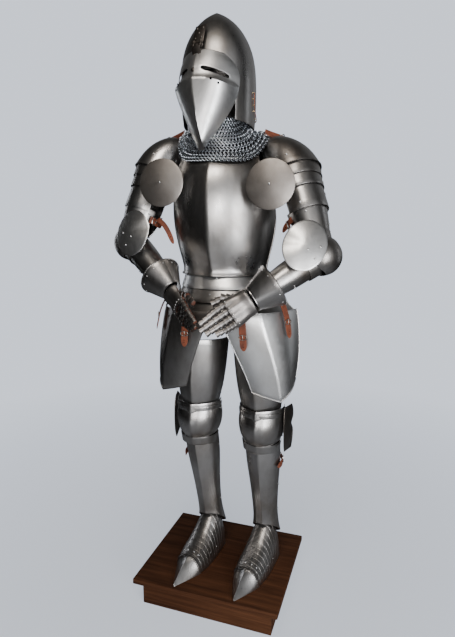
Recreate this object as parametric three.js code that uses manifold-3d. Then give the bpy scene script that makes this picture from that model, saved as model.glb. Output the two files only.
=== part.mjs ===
// A full harness of plate armour standing on a stained wooden stand, in millimetres.
// The suit faces -Y, its left side is +X and +Z is up. The origin is the middle of the stand's underside.
// Each plate is a wall of sheet steel, formed over the limb it covers, with clear space to its neighbours.
import * as THREE from "three";
import { mergeVertices } from "three/addons/utils/BufferGeometryUtils.js";
import Module from "manifold-3d";

const wasm = await Module();
wasm.setup();

// ---------- Driving dimensions ----------

const STEEL = 1.8; // thickness of a plate
const MAIL = 3; // thickness of the mail
const LEATHER = 3; // thickness of a strap
const LAP = 1.6; // clear space where one plate lies over another
const STRAP_WIDTH = 22;

const BOARD = { width: 509, depth: 429, thick: 19 }; // the stand's top board
const PLINTH = { inset: 25, height: 86 }; // the block under it
const STAND_HEIGHT = PLINTH.height + BOARD.thick;
const SOLE = 0.5; // a sabaton's edge above the board

const SUIT = new THREE.Vector3(0, 30, STAND_HEIGHT); // the suit's own origin, on the board under the chest
const HIPS_X = 24; // the hips stand this far to the suit's left of the chest

const HEAD = {
  base: new THREE.Vector3(-20, -5, 1499), // middle of the helmet's lower edge
  turn: THREE.MathUtils.degToRad(-10), // looking to its right
  lean: THREE.MathUtils.degToRad(-1), // the top leaning to its right
};

const at = (x, y, z) => new THREE.Vector3(x, y, z);
const ARMS = [
  {
    name: "left",
    side: 1,
    shoulder: at(218, 0, 1392),
    elbow: at(326, -88, 1108),
    wrist: at(152, -192, 984),
    fingertips: at(18, -268, 884),
    back: at(0.35, -0.91, 0.19), // the way the back of the hand faces
    besagew: at(189, -160, 1311),
  },
  {
    name: "right",
    side: -1,
    shoulder: at(-221, 0, 1405),
    elbow: at(-297, -85, 1142),
    wrist: at(-111, -188, 997),
    fingertips: at(-8, -258, 889),
    back: at(-0.6, -0.75, -0.25),
    besagew: at(-150, -168, 1324),
  },
];
const LEGS = [
  { name: "left", side: 1, hip: at(124, -5, 860), knee: at(136, -10, 525), ankle: at(147, 25, 110) },
  { name: "right", side: -1, hip: at(-82, -5, 860), knee: at(-94, -10, 525), ankle: at(-64, 25, 110) },
];
const FOOT_TURN = THREE.MathUtils.degToRad(-9); // both feet point a little to the suit's right

// ---------- Materials ----------

const finish = (name, color, roughness, metalness) =>
  Object.assign(new THREE.MeshStandardMaterial({ color, roughness, metalness }), { name });
const steel = finish("steel", 0x8c8c8c, 0.3, 1);
const mailSteel = finish("mail", 0x9aa0a6, 0.4, 1);
const leather = finish("leather", 0x8a4630, 0.7, 0);
const wood = finish("wood", 0x4a2a1c, 0.6, 0);

// ---------- Sheet metal ----------

const rad = THREE.MathUtils.degToRad;

// One row of a plate: an arc round an upright axis, in degrees from the front (-Y) round by +X.
// deep is the reach to the front and back the reach to the rear. keel raises a ridge at ridgeAt.
// nod tips the row's plane, front down, and tilt its +X side down.
// droop lowers the row's front and rear below its sides.
function arc(row, columns) {
  const { z, wide, deep, back = deep, x = 0, y = 0, from = -180, to = 180 } = row;
  const { keel = 0, ridgeAt = 0, nod = 0, tilt = 0, droop = 0, rearDroop = droop } = row;
  const count = to - from >= 360 ? columns : columns + 1;
  return Array.from({ length: count }, (_, i) => {
    const degrees = from + ((to - from) * i) / columns;
    const sine = Math.sin(rad(degrees));
    const cosine = Math.cos(rad(degrees));
    const ridge = keel * Math.max(0, 1 - Math.abs(degrees - ridgeAt) / 30);
    const reach = 1 + ridge / (cosine > 0 ? deep : back);
    const px = x + wide * sine * reach;
    const py = y - (cosine > 0 ? deep : back) * cosine * reach;
    const sag = (cosine > 0 ? droop : rearDroop) * cosine * cosine;
    return at(px, py, z + (py - y) * Math.tan(rad(nod)) - (px - x) * Math.tan(rad(tilt)) - sag);
  });
}

function facets(points, triangles) {
  const geometry = new THREE.BufferGeometry();
  const places = points.flatMap((p) => p.toArray());
  geometry.setAttribute("position", new THREE.Float32BufferAttribute(places, 3));
  return geometry.setIndex(triangles.flat());
}

// A closed wall from rows of points on its outer face.
// The rows are listed upwards, and each runs from -X by the front to +X.
// ring joins the last column to the first. cut(row, column) leaves an opening in the wall.
function wall(rows, { thick = STEEL, ring = false, cut = () => false } = {}) {
  const found = new Map();
  const outer = [];
  const index = rows.map((row) =>
    row.map((p) => {
      const key = p.toArray().map((n) => n.toFixed(2)).join();
      if (!found.has(key)) {
        found.set(key, outer.length);
        outer.push(p);
      }
      return found.get(key);
    }),
  );
  const width = rows[0].length;
  const columns = ring ? width : width - 1;
  const faces = [];
  for (let j = 0; j < rows.length - 1; j++)
    for (let i = 0; i < columns; i++) {
      const k = (i + 1) % width;
      const corners = [index[j][i], index[j][k], index[j + 1][k], index[j + 1][i]];
      if (!cut(j, i)) faces.push(corners.filter((c, n) => c !== corners[(n + 1) % 4]));
    }
  const normals = outer.map(() => at(0, 0, 0));
  for (const face of faces) {
    const [a, b, c] = face.map((n) => outer[n]);
    const d = outer[face[face.length - 1]];
    const normal = c.clone().sub(a).cross(d.clone().sub(b));
    for (const n of face) normals[n].add(normal);
  }
  const inner = outer.map((p, n) => p.clone().addScaledVector(normals[n].normalize(), -thick));
  const shift = outer.length;
  const triangles = [];
  const edges = new Set(faces.flatMap((face) => face.map((a, n) => `${a},${face[(n + 1) % face.length]}`)));
  for (const face of faces) {
    for (let n = 1; n < face.length - 1; n++) {
      triangles.push([face[0], face[n], face[n + 1]]);
      triangles.push([face[0] + shift, face[n + 1] + shift, face[n] + shift]);
    }
    face.forEach((a, n) => {
      const b = face[(n + 1) % face.length];
      if (edges.has(`${b},${a}`)) return;
      triangles.push([b, a, a + shift], [b, a + shift, b + shift]);
    });
  }
  return facets([...outer, ...inner], triangles);
}

function plate(rows, columns, options = {}) {
  const ring = rows.every(({ from = -180, to = 180 }) => to - from >= 360);
  return wall(rows.map((row) => arc(row, columns)), { ring, ...options });
}

// A strap: a ribbon of leather along points on its outer face, as wide as across is long.
function strap(points, across) {
  const edges = [-0.5, 0.5].map((share) => points.map((p) => p.clone().addScaledVector(across, share)));
  return wall(edges, { thick: LEATHER });
}

// A closed, tapering rod through points with a radius at each, for the fingers of a glove.
function rod(points, radii, sides = 8) {
  const along = points[points.length - 1].clone().sub(points[0]).normalize();
  const turn = new THREE.Quaternion().setFromUnitVectors(at(0, 0, 1), along);
  const ring = (p, r) =>
    Array.from({ length: sides }, (_, i) => {
      const a = (2 * Math.PI * i) / sides;
      return at(r * Math.cos(a), r * Math.sin(a), 0).applyQuaternion(turn).add(p);
    });
  const vertices = points.flatMap((p, n) => ring(p, radii[n]));
  const triangles = [];
  for (let n = 0; n < points.length - 1; n++)
    for (let i = 0; i < sides; i++) {
      const a = n * sides + i;
      const b = n * sides + ((i + 1) % sides);
      triangles.push([a, b, b + sides], [a, b + sides, a + sides]);
    }
  const last = (points.length - 1) * sides;
  for (let i = 1; i < sides - 1; i++) triangles.push([0, i + 1, i], [last, last + i, last + i + 1]);
  return facets(vertices, triangles);
}

function solidOf(geometry) {
  const bare = geometry.clone();
  bare.deleteAttribute("normal");
  bare.deleteAttribute("uv");
  const merged = mergeVertices(bare, 1e-3);
  const vertProperties = new Float32Array(merged.attributes.position.array);
  const triVerts = new Uint32Array(merged.index.array);
  return new wasm.Manifold(new wasm.Mesh({ numProp: 3, vertProperties, triVerts }));
}

function geometryOf(solid) {
  const mesh = solid.getMesh();
  const geometry = new THREE.BufferGeometry();
  geometry.setAttribute("position", new THREE.Float32BufferAttribute(mesh.vertProperties, 3));
  return geometry.setIndex(new THREE.BufferAttribute(mesh.triVerts, 1));
}

const joined = (...geometries) => geometryOf(geometries.map(solidOf).reduce((a, b) => a.add(b)));

function piece(parent, name, geometry, material = steel) {
  const mesh = new THREE.Mesh(geometry, material);
  mesh.name = name;
  parent.add(mesh);
  return mesh;
}

// A limb's own frame: origin at `from`, -Z towards `to`, -Y as near `front` as it can be.
// side -1 mirrors it, so that +X is away from the body on both sides.
function limbFrame(parent, from, to, front, side) {
  const z = from.clone().sub(to).normalize();
  const y = front.clone().negate();
  y.addScaledVector(z, -y.dot(z)).normalize();
  const x = y.clone().cross(z);
  const group = new THREE.Group();
  group.position.copy(from);
  group.quaternion.setFromRotationMatrix(new THREE.Matrix4().makeBasis(x, y, z));
  group.scale.x = side;
  parent.add(group);
  return group;
}

// ---------- Stand ----------

function makeStand(parent) {
  const board = new THREE.BoxGeometry(BOARD.width, BOARD.depth, BOARD.thick);
  piece(parent, "stand_board", board, wood).position.z = PLINTH.height + BOARD.thick / 2 + 0.15;
  const plinth = new THREE.BoxGeometry(
    BOARD.width - 2 * PLINTH.inset,
    BOARD.depth - 2 * PLINTH.inset,
    PLINTH.height - 0.3,
  );
  piece(parent, "stand_plinth", plinth, wood).position.z = (PLINTH.height - 0.3) / 2;
}

// ---------- Helmet ----------

const HINGE = at(0, -122, 213); // the visor's hinge axis at the brow, along X
const FACE = { edge: 50, top: 3 }; // the face opening's half angle, and its top row in the skull

function makeSkull(parent) {
  const rows = [
    { z: 0, wide: 113, deep: 108, back: 120, nod: -8 },
    { z: 42, wide: 117, deep: 110, back: 128, nod: -4 },
    { z: 95, wide: 119, deep: 111, back: 132 },
    { z: 150, wide: 119, deep: 111, back: 132 },
    { z: 200, wide: 115, deep: 108, back: 126 },
    { z: 244, wide: 102, deep: 96, back: 110 },
    { z: 284, wide: 79, deep: 75, back: 86 },
    { z: 310, wide: 54, deep: 52, back: 60 },
    { z: 328, wide: 29, deep: 28, back: 34 },
    { z: 343, wide: 0, deep: 0.001 },
  ];
  const columns = 20;
  const middle = (i) => Math.abs(-180 + (360 * (i + 0.5)) / columns);
  const cut = (j, i) => j < FACE.top && middle(i) < FACE.edge;
  piece(parent, "bascinet_skull", plate(rows, columns, { cut }));
}

// The visor: each row runs from one side edge to the other over a keel in the middle.
// half is the half width, side the y of its side edges, front the y of its keel,
// and droop how far its side edges hang below its keel.
const VISOR = [
  { z: -80, half: 6, side: -119, front: -124, sharp: 0.3, droop: 0 },
  { z: -66, half: 20, side: -112, front: -131, sharp: 0.3, droop: 0 },
  { z: -34, half: 43, side: -96, front: -142, sharp: 0.3, droop: 0 },
  { z: 8, half: 68, side: -78, front: -152, sharp: 0.3, droop: 2 },
  { z: 52, half: 92, side: -67, front: -160, sharp: 0.28, droop: 6 },
  { z: 92, half: 112, side: -62, front: -166, sharp: 0.25, droop: 14 },
  { z: 117, half: 122, side: -60, front: -170, sharp: 0.22, droop: 24 },
  { z: 131, half: 115, side: -60, front: -155, sharp: 0.15, droop: 27 },
  { z: 144, half: 112, side: -60, front: -147, sharp: 0.12, droop: 29 },
  { z: 151, half: 112, side: -60, front: -145, sharp: 0.12, droop: 30 },
  { z: 170, half: 110, side: -60, front: -137, sharp: 0.12, droop: 27 },
  { z: 190, half: 98, side: -68, front: -127, sharp: 0.12, droop: 22 },
  { z: 203, half: 72, side: -88, front: -119, sharp: 0.1, droop: 13 },
];
const SIGHT_ROW = 8;

function makeVisor(parent) {
  const columns = 16;
  const rows = VISOR.map(({ z, half, side, front, sharp, droop }) =>
    Array.from({ length: columns + 1 }, (_, i) => {
      const s = Math.sin(((2 * i) / columns - 1) * (Math.PI / 2));
      const fall = sharp * Math.abs(s) + (1 - sharp) * Math.abs(s) ** 2.6;
      return at(half * s, side + (front - side) * (1 - fall), z - droop * s * s);
    }),
  );
  const sight = (j, i) => j === SIGHT_ROW && ((i >= 3 && i <= 6) || (i >= 9 && i <= 12));
  const shell = wall(rows, { cut: sight });
  const leaf = new THREE.BoxGeometry(28, 5, 34);
  leaf.rotateX(rad(14));
  leaf.translate(0, HINGE.y - 3, HINGE.z - 19);
  const knuckle = new THREE.CylinderGeometry(6, 6, 12, 12);
  knuckle.rotateZ(Math.PI / 2);
  knuckle.translate(HINGE.x, HINGE.y, HINGE.z);
  const bore = new THREE.CylinderGeometry(2.6, 2.6, 40, 12);
  bore.rotateZ(Math.PI / 2);
  bore.translate(HINGE.x, HINGE.y, HINGE.z);
  const clear = [-12, 12].map((x) => new THREE.BoxGeometry(10.6, 15, 15).translate(x, HINGE.y, HINGE.z));
  const whole = solidOf(joined(shell, leaf, knuckle));
  const hinged = [bore, ...clear].reduce((body, tool) => body.subtract(solidOf(tool)), whole);
  piece(parent, "visor", geometryOf(hinged));
}

function makeBrowHinge(parent) {
  const bracket = new THREE.BoxGeometry(36, 4, 58);
  bracket.rotateX(rad(-23));
  bracket.translate(0, HINGE.y + 17, HINGE.z + 36);
  const ears = [-12, 12].map((x) => {
    const ear = new THREE.CylinderGeometry(6, 6, 9, 12);
    ear.rotateZ(Math.PI / 2);
    return ear.translate(x, HINGE.y, HINGE.z);
  });
  const webs = [-12, 12].map((x) => new THREE.BoxGeometry(9, 8, 14).translate(x, HINGE.y + 3, HINGE.z + 8));
  const pin = new THREE.CylinderGeometry(2.2, 2.2, 38, 12);
  pin.rotateZ(Math.PI / 2);
  pin.translate(HINGE.x, HINGE.y, HINGE.z);
  piece(parent, "brow_hinge", joined(bracket, ...ears, ...webs, pin));
}

function makeHelmet(parent) {
  const head = new THREE.Group();
  head.position.copy(HEAD.base);
  head.rotation.set(0, HEAD.lean, HEAD.turn, "ZYX");
  parent.add(head);
  makeSkull(head);
  makeVisor(head);
  makeBrowHinge(head);
}

function makeCamail(parent) {
  const rows = [
    { z: 1482, wide: 148, deep: 150, back: 128, droop: 96, rearDroop: 40, x: 3, tilt: 1 },
    { z: 1484, wide: 138, deep: 119, back: 122, droop: 74, rearDroop: 28, x: 2, tilt: 1 },
    { z: 1488, wide: 122, deep: 112, back: 110, droop: 46, rearDroop: 20, x: -5 },
    { z: 1493, wide: 100, deep: 97, back: 103, droop: 20, rearDroop: 6, x: -16 },
    { z: 1524, wide: 97, deep: 91, back: 103, droop: 4, rearDroop: 0, x: -18 },
  ];
  piece(parent, "camail", plate(rows, 24, { thick: MAIL }), mailSteel);
}

// ---------- Torso ----------

function makeCuirass(parent) {
  const breast = [
    { z: 1042, wide: 143, deep: 130, from: -92, to: 92 },
    { z: 1058, wide: 137, deep: 124, from: -92, to: 92 },
    { z: 1106, wide: 150, deep: 143, from: -92, to: 92 },
    { z: 1168, wide: 164, deep: 160, from: -92, to: 92 },
    { z: 1232, wide: 171, deep: 168, from: -90, to: 90 },
    { z: 1292, wide: 170, deep: 167, from: -76, to: 76 },
    { z: 1345, wide: 163, deep: 156, from: -63, to: 63 },
    { z: 1380, wide: 150, deep: 138, from: -60, to: 60 },
    { z: 1402, wide: 144, deep: 116, from: -60, to: 60 },
  ].map((row) => ({ ...row, keel: 5 }));
  piece(parent, "breastplate", plate(breast, 16));
  const back = [
    { z: 1052, wide: 134.5, deep: 119, back: 110, from: 84, to: 276 },
    { z: 1066, wide: 132, deep: 117, back: 106, from: 84, to: 276 },
    { z: 1110, wide: 145, deep: 138, back: 116, from: 84, to: 276 },
    { z: 1190, wide: 161, deep: 156, back: 130, from: 84, to: 276 },
    { z: 1270, wide: 166, deep: 163, back: 138, from: 93, to: 267 },
    { z: 1345, wide: 158, deep: 150, back: 134, from: 108, to: 252 },
    { z: 1405, wide: 138, deep: 120, back: 122, from: 112, to: 248 },
  ];
  piece(parent, "backplate", plate(back, 14));
}

function makeFauld(parent) {
  const lames = [
    ["waist_lame", { z: 1000, wide: 157, deep: 146 }, { z: 1050, wide: 132, deep: 119.5 }],
    ["fauld_upper", { z: 960, wide: 185, deep: 164 }, { z: 1007, wide: 147, deep: 135 }],
    ["fauld_lower", { z: 922, wide: 212, deep: 178 }, { z: 967, wide: 172, deep: 150 }],
  ];
  const shiftAt = (z) => (HIPS_X * (1050 - z)) / (1050 - 922);
  for (const [name, low, high] of lames) {
    const rows = [low, high].map((row) => ({ ...row, x: shiftAt(row.z), from: -96, to: 96 }));
    piece(parent, name, plate(rows, 16));
  }
  const culet = [
    { z: 905, wide: 214, deep: 190, back: 168 },
    { z: 960, wide: 184, deep: 164, back: 148 },
    { z: 1008, wide: 156, deep: 140, back: 124 },
    { z: 1038, wide: 138, deep: 120, back: 110 },
  ].map((row) => ({ ...row, x: shiftAt(row.z), from: 101, to: 259 }));
  piece(parent, "culet", plate(culet, 12));
}

// A tasset's rows, from the inner edge over a keel to the outer edge, in the frame of the hips.
const TASSET = [
  { inner: at(112, -140, 678), keel: at(203, -128, 652), outer: at(232, -42, 712) },
  { inner: at(96, -150, 730), keel: at(196, -140, 720), outer: at(238, -38, 758) },
  { inner: at(74, -162, 786), keel: at(182, -152, 786), outer: at(240, -34, 808) },
  { inner: at(46, -174, 852), keel: at(164, -163, 852), outer: at(237, -31, 862) },
  { inner: at(18, -182, 918), keel: at(143, -168, 918), outer: at(231, -28, 918) },
];

function makeTasset(parent, side) {
  const name = side > 0 ? "left" : "right";
  const group = new THREE.Group();
  group.position.x = HIPS_X;
  group.scale.x = side;
  parent.add(group);
  const span = (a, b, out, parts) =>
    Array.from({ length: parts }, (_, i) => {
      const t = i / parts;
      return a.clone().lerp(b, t).addScaledVector(out, Math.sin(Math.PI * t));
    });
  const rows = TASSET.map(({ inner, keel, outer }) => [
    ...span(inner, keel, at(0, -6, 0), 4),
    ...span(keel, outer, at(15, -15, 0), 4),
    outer.clone(),
  ]);
  piece(group, `tasset_${name}`, wall(rows));
  const across = at(STRAP_WIDTH, 0, 0);
  const innerStrap = [at(96, -184, 826), at(95, -186, 862), at(93, -187, 892), at(92, -187, 914)];
  piece(group, `tasset_strap_inner_${name}`, strap(innerStrap, across), leather);
  const slant = at(11, 19, 0);
  const outerStrap = [at(222, -119, 862), at(217, -116, 892), at(212, -114, 925), at(196, -105, 958)];
  piece(group, `tasset_strap_outer_${name}`, strap(outerStrap, slant), leather);
}

// ---------- Arms ----------

function makeSpaulder(frame, name) {
  // The cop is a shell over the point of the shoulder, open towards the armpit and drawn in to the neck.
  const rise = [0, 22, 44, 64, 82, 90];
  const cop = rise.map((degrees) => ({
    z: -46 + 133 * Math.sin(rad(degrees)),
    wide: 3 + 79 * Math.cos(rad(degrees)),
    deep: 3 + 89 * Math.cos(rad(degrees)),
    x: -46 * Math.sin(rad(degrees)) ** 2,
    nod: -12 * Math.sin(rad(degrees)),
    from: -78,
    to: 246,
  }));
  cop.push({ ...cop[5], z: cop[5].z + 1, wide: 0, deep: 0.001 });
  piece(frame, `spaulder_cop_${name}`, plate(cop, 14));
  const lames = [
    { top: -36, low: -80, wide: 77, deep: 84 },
    { top: -70, low: -116, wide: 73, deep: 78 },
    { top: -106, low: -184, wide: 68.5, deep: 71 },
  ];
  lames.forEach(({ top, low, wide, deep }, n) => {
    const rows = [
      { z: low, wide: wide - 0.5, deep: deep - 1 },
      { z: top, wide, deep },
    ].map((row) => ({ ...row, from: -50 + 6 * n, to: 220 - 6 * n }));
    piece(frame, `spaulder_lame_${n + 1}_${name}`, plate(rows, 12));
  });
}

function makeRerebrace(frame, name, length) {
  const rows = [
    { z: -(length - 38), wide: 44, deep: 45 },
    { z: -235, wide: 54, deep: 55 },
    { z: -174, wide: 63, deep: 64 },
  ].map((row) => ({ ...row, from: -62, to: 242 }));
  piece(frame, `rerebrace_${name}`, plate(rows, 14));
  const bend = [-96, -80, -64, -48].map((a) => at(67 * Math.sin(rad(a)), -68 * Math.cos(rad(a)), -205));
  piece(frame, `arm_strap_${name}`, strap(bend, at(0, 0, STRAP_WIDTH)), leather);
}

function makeCouter(parent, arm) {
  const { side, name, shoulder, elbow, wrist } = arm;
  const up = shoulder.clone().sub(elbow).normalize();
  const down = wrist.clone().sub(elbow).normalize();
  const crook = up.clone().add(down);
  const frame = limbFrame(parent, elbow, elbow.clone().sub(up).add(down), crook, side);
  // A bowl round the point of the elbow, open to the crook.
  const bowl = [-56, -42, -22, 0, 22, 42, 56].map((degrees) => {
    const reach = Math.cos(rad(degrees));
    const open = Math.abs(degrees) < 30 ? 72 : Math.abs(degrees) < 50 ? 86 : 106;
    const keel = Math.abs(degrees) > 50 ? 0 : 4;
    return {
      z: 62 * Math.sin(rad(degrees)),
      wide: 62 * reach,
      deep: 60 * reach,
      back: 66 * reach,
      from: open,
      to: 360 - open,
      keel,
      ridgeAt: 180,
    };
  });
  piece(frame, `couter_${name}`, plate(bowl, 10));
  // The wing: a dished disc on the outer side, pinched along the middle towards the crook.
  const centre = at(66, -51, -11);
  const rings = [0, 0.36, 0.7, 1];
  const spokes = 16;
  const rows = rings.map((r) =>
    Array.from({ length: spokes }, (_, i) => {
      const a = (2 * Math.PI * i) / spokes;
      const y = 64 * r * Math.cos(a);
      const z = 79 * r * Math.sin(a);
      const pinch = y < 0 ? 9 * r * Math.max(0, 1 - Math.abs(z) / 26) : 0;
      return at(centre.x + 11 * (1 - r * r) - pinch, centre.y + y, centre.z + z);
    }),
  );
  piece(frame, `couter_wing_${name}`, wall(rows.reverse(), { ring: true }));
}

function makeVambrace(frame, name, length) {
  const rows = [
    { z: -(length - 22), wide: 34, deep: 31 },
    { z: -170, wide: 41, deep: 38 },
    { z: -105, wide: 47, deep: 46 },
    { z: -38, wide: 46, deep: 46 },
  ];
  piece(frame, `vambrace_${name}`, plate(rows, 14));
}

function makeGauntlet(parent, arm) {
  const { side, name, elbow, wrist, fingertips, back } = arm;
  const cuffFrame = limbFrame(parent, wrist, wrist.clone().sub(elbow).add(wrist), back, side);
  const cuff = [
    { z: -2, wide: 39, deep: 31 },
    { z: 26, wide: 50, deep: 46 },
    { z: 72, wide: 69, deep: 68 },
  ];
  piece(cuffFrame, `gauntlet_cuff_${name}`, plate(cuff, 16));
  const hand = limbFrame(parent, wrist, fingertips, back, side);
  const length = wrist.distanceTo(fingertips);
  const knuckles = -0.45 * length;
  const metacarpal = [
    { z: knuckles, wide: 47, deep: 17, y: -4, from: -84, to: 84 },
    { z: -45, wide: 45, deep: 22, y: -3, from: -90, to: 90 },
    { z: -14, wide: 37, deep: 27, y: 0, from: -94, to: 94 },
  ];
  piece(hand, `gauntlet_hand_${name}`, plate(metacarpal, 10));
  // The leather glove in it: the palm, four fingers and the thumb, in one.
  const palm = new THREE.BoxGeometry(68, 10, 70);
  palm.translate(0, 1, knuckles + 26);
  const reach = [0.94, 1, 0.95, 0.82];
  const fingers = reach.map((r, n) => {
    const x = -34 + 22 * n;
    const start = knuckles + 20;
    const tip = -r * length;
    return rod([at(x, 1, start), at(x * 0.96, -2, knuckles - 30), at(x * 0.8, 4, tip)], [8.5, 9, 7]);
  });
  const thumb = rod([at(-22, 4, -34), at(-50, 13, -70), at(-56, 16, -108)], [10, 10, 8]);
  piece(hand, `gauntlet_fingers_${name}`, joined(palm, ...fingers, thumb), leather);
}

function makeBesagew(parent, arm) {
  const radius = 73;
  const disc = [
    [0, 9],
    [30, 7.5],
    [56, 3.5],
    [radius, -2],
    [radius, -4],
    [56, 1.5],
    [30, 5.5],
    [0, 7],
  ].map(([r, h]) => new THREE.Vector2(r, h));
  const mesh = piece(parent, `besagew_${arm.name}`, new THREE.LatheGeometry(disc.reverse(), 20));
  mesh.position.copy(arm.besagew);
  mesh.quaternion.setFromUnitVectors(at(0, 1, 0), at(0, -1, 0.07).normalize());
}

function makeShoulderStrap(parent, arm) {
  const { side, name, shoulder } = arm;
  const height = shoulder.z + 93;
  const points = [60, 42, 24].map((x) => at(shoulder.x - side * x, -6, height));
  const ordered = side > 0 ? points : points.reverse();
  piece(parent, `shoulder_strap_${name}`, strap(ordered, at(0, STRAP_WIDTH, 0)), leather);
}

function makeArm(parent, arm) {
  const { side, name, shoulder, elbow, wrist } = arm;
  const crook = wrist.clone().sub(elbow);
  const outward = at(0, -1, 0);
  const shoulderFrame = limbFrame(parent, shoulder, elbow, outward, side);
  makeSpaulder(shoulderFrame, name);
  makeRerebrace(shoulderFrame, name, shoulder.distanceTo(elbow));
  makeCouter(parent, arm);
  const pointOfElbow = shoulder.clone().sub(elbow).sub(crook);
  const forearm = limbFrame(parent, elbow, wrist, pointOfElbow, side);
  makeVambrace(forearm, name, elbow.distanceTo(wrist));
  makeGauntlet(parent, arm);
  makeBesagew(parent, arm);
  makeShoulderStrap(parent, arm);
}

// ---------- Legs ----------

function makeCuisse(frame, name, length) {
  const rows = [
    { z: -(length - 62), wide: 67, deep: 66, from: -116, to: 116 },
    { z: -205, wide: 82, deep: 82, from: -116, to: 116 },
    { z: -110, wide: 89, deep: 92, from: -112, to: 112 },
    { z: -35, wide: 92, deep: 97, from: -104, to: 104 },
  ].map((row) => ({ ...row, keel: 4 }));
  piece(frame, `cuisse_${name}`, plate(rows, 14));
}

function makePoleyn(parent, leg) {
  const { side, name, knee } = leg;
  const frame = new THREE.Group();
  frame.position.copy(knee);
  frame.scale.x = side;
  parent.add(frame);
  const lame = [
    { z: 40, wide: 75.5, deep: 79 },
    { z: 72, wide: 77, deep: 77 },
  ].map((row) => ({ ...row, from: -108, to: 108, keel: 4 }));
  piece(frame, `poleyn_lame_${name}`, plate(lame, 14));
  const cop = [
    { z: -62, wide: 69, deep: 68 },
    { z: -50, wide: 73, deep: 76 },
    { z: -26, wide: 77, deep: 86 },
    { z: 4, wide: 79, deep: 90 },
    { z: 32, wide: 79.5, deep: 86 },
    { z: 50, wide: 79, deep: 82.5 },
  ].map((row) => ({ ...row, from: -106, to: 106, keel: 6 }));
  piece(frame, `poleyn_${name}`, plate(cop, 14));
  // The wing: two lobes and a pinch between them, standing back from the outer side of the knee.
  const half = 78;
  const heights = [-1, -0.78, -0.5, -0.22, 0, 0.22, 0.5, 0.78, 1];
  const rows = heights.map((h) => {
    const reach = 26 + 34 * Math.sqrt(Math.max(0, 1 - h * h)) - 12 * Math.max(0, 1 - Math.abs(h) / 0.24);
    const front = -18 - 14 * Math.sqrt(Math.max(0, 1 - h * h));
    return [0, 0.34, 0.67, 1].map((t) => {
      const y = front + t * (reach - front);
      const dish = 8 * Math.sin(Math.PI * t) * (1 - h * h) - 7 * Math.max(0, 1 - Math.abs(h) / 0.24) * t;
      return at(84 + 12 * t + dish, y, -4 + half * h);
    });
  });
  piece(frame, `poleyn_wing_${name}`, wall(rows));
}

function makeGreave(frame, name, length) {
  const rows = [
    { z: -(length - 2), wide: 50, deep: 48, back: 58, y: 8, nod: -44 },
    { z: -(length - 40), wide: 45, deep: 43, back: 49, y: 4, nod: -26 },
    { z: -(length - 84), wide: 43, deep: 41, back: 46, nod: -8 },
    { z: -220, wide: 50, deep: 48, back: 56 },
    { z: -140, wide: 60, deep: 57, back: 70 },
    { z: -64, wide: 61, deep: 58, back: 64 },
  ].map((row) => ({ ...row, keel: 4 }));
  piece(frame, `greave_${name}`, plate(rows, 16));
  const bend = (a) => at(66 * Math.sin(rad(a)), -(a < 90 ? 64 : 76) * Math.cos(rad(a)), -140);
  const points = [28, 55, 82, 109, 136].map(bend);
  piece(frame, `greave_strap_${name}`, strap(points, at(0, 0, STRAP_WIDTH)), leather);
}

function makeSabaton(parent, leg) {
  const { name, ankle } = leg;
  const frame = new THREE.Group();
  frame.position.set(ankle.x, ankle.y, 0);
  frame.rotation.z = FOOT_TURN;
  parent.add(frame);
  // Sections across the foot from the ankle to the long toe: half width, height over the sole.
  const sections = [
    { y: 26, half: 38, top: 112 },
    { y: 4, half: 41, top: 146 },
    { y: -22, half: 45, top: 142 },
    { y: -52, half: 50, top: 114 },
    { y: -86, half: 54, top: 90 },
    { y: -122, half: 55, top: 72 },
    { y: -156, half: 50, top: 59 },
    { y: -186, half: 40, top: 47 },
    { y: -214, half: 27, top: 34 },
    { y: -240, half: 14, top: 21 },
    { y: -262, half: 3, top: 10 },
  ];
  const columns = 10;
  const rows = sections.map(({ y, half, top }) =>
    Array.from({ length: columns + 1 }, (_, i) => {
      const a = (Math.PI * i) / columns;
      const flat = Math.sign(Math.cos(a)) * Math.abs(Math.cos(a)) ** 0.8;
      return at(-half * flat, y, SOLE + (top - SOLE) * Math.sin(a) ** 0.9);
    }),
  );
  piece(frame, `sabaton_${name}`, wall(rows.reverse()));
}

function makeLeg(parent, leg) {
  const { side, name, hip, knee, ankle } = leg;
  const front = at(0, -1, 0);
  makeCuisse(limbFrame(parent, hip, knee, front, side), name, hip.distanceTo(knee));
  makePoleyn(parent, leg);
  makeGreave(limbFrame(parent, knee, ankle, front, side), name, knee.distanceTo(ankle));
  makeSabaton(parent, leg);
}

// ---------- Assembly ----------

const harness = new THREE.Group();
makeStand(harness);
const suit = new THREE.Group();
suit.position.copy(SUIT);
harness.add(suit);
makeHelmet(suit);
makeCamail(suit);
makeCuirass(suit);
makeFauld(suit);
for (const side of [1, -1]) makeTasset(suit, side);
for (const arm of ARMS) makeArm(suit, arm);
for (const leg of LEGS) makeLeg(suit, leg);

export default harness;
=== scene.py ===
# %% [markdown]
# # A suit of plate armour on a wooden stand
# A harness is some sixty sheets of steel, each beaten over a stake until it fits one part of a body, then
# ground, blackened and brushed. Leather straps and small lames hold the sheets together. This lesson takes
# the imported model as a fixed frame, turns its faceted plates into smooth sheet metal, and adds what a smith
# adds last: turned edges, rivets, buckles, finger scales, foot lames and the rings of the mail collar.

# %% Load the frame and keep its size
import math
from contextlib import contextmanager
import bmesh
import bpy
from mathutils import Matrix, Vector
from mathutils.bvhtree import BVHTree


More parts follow.
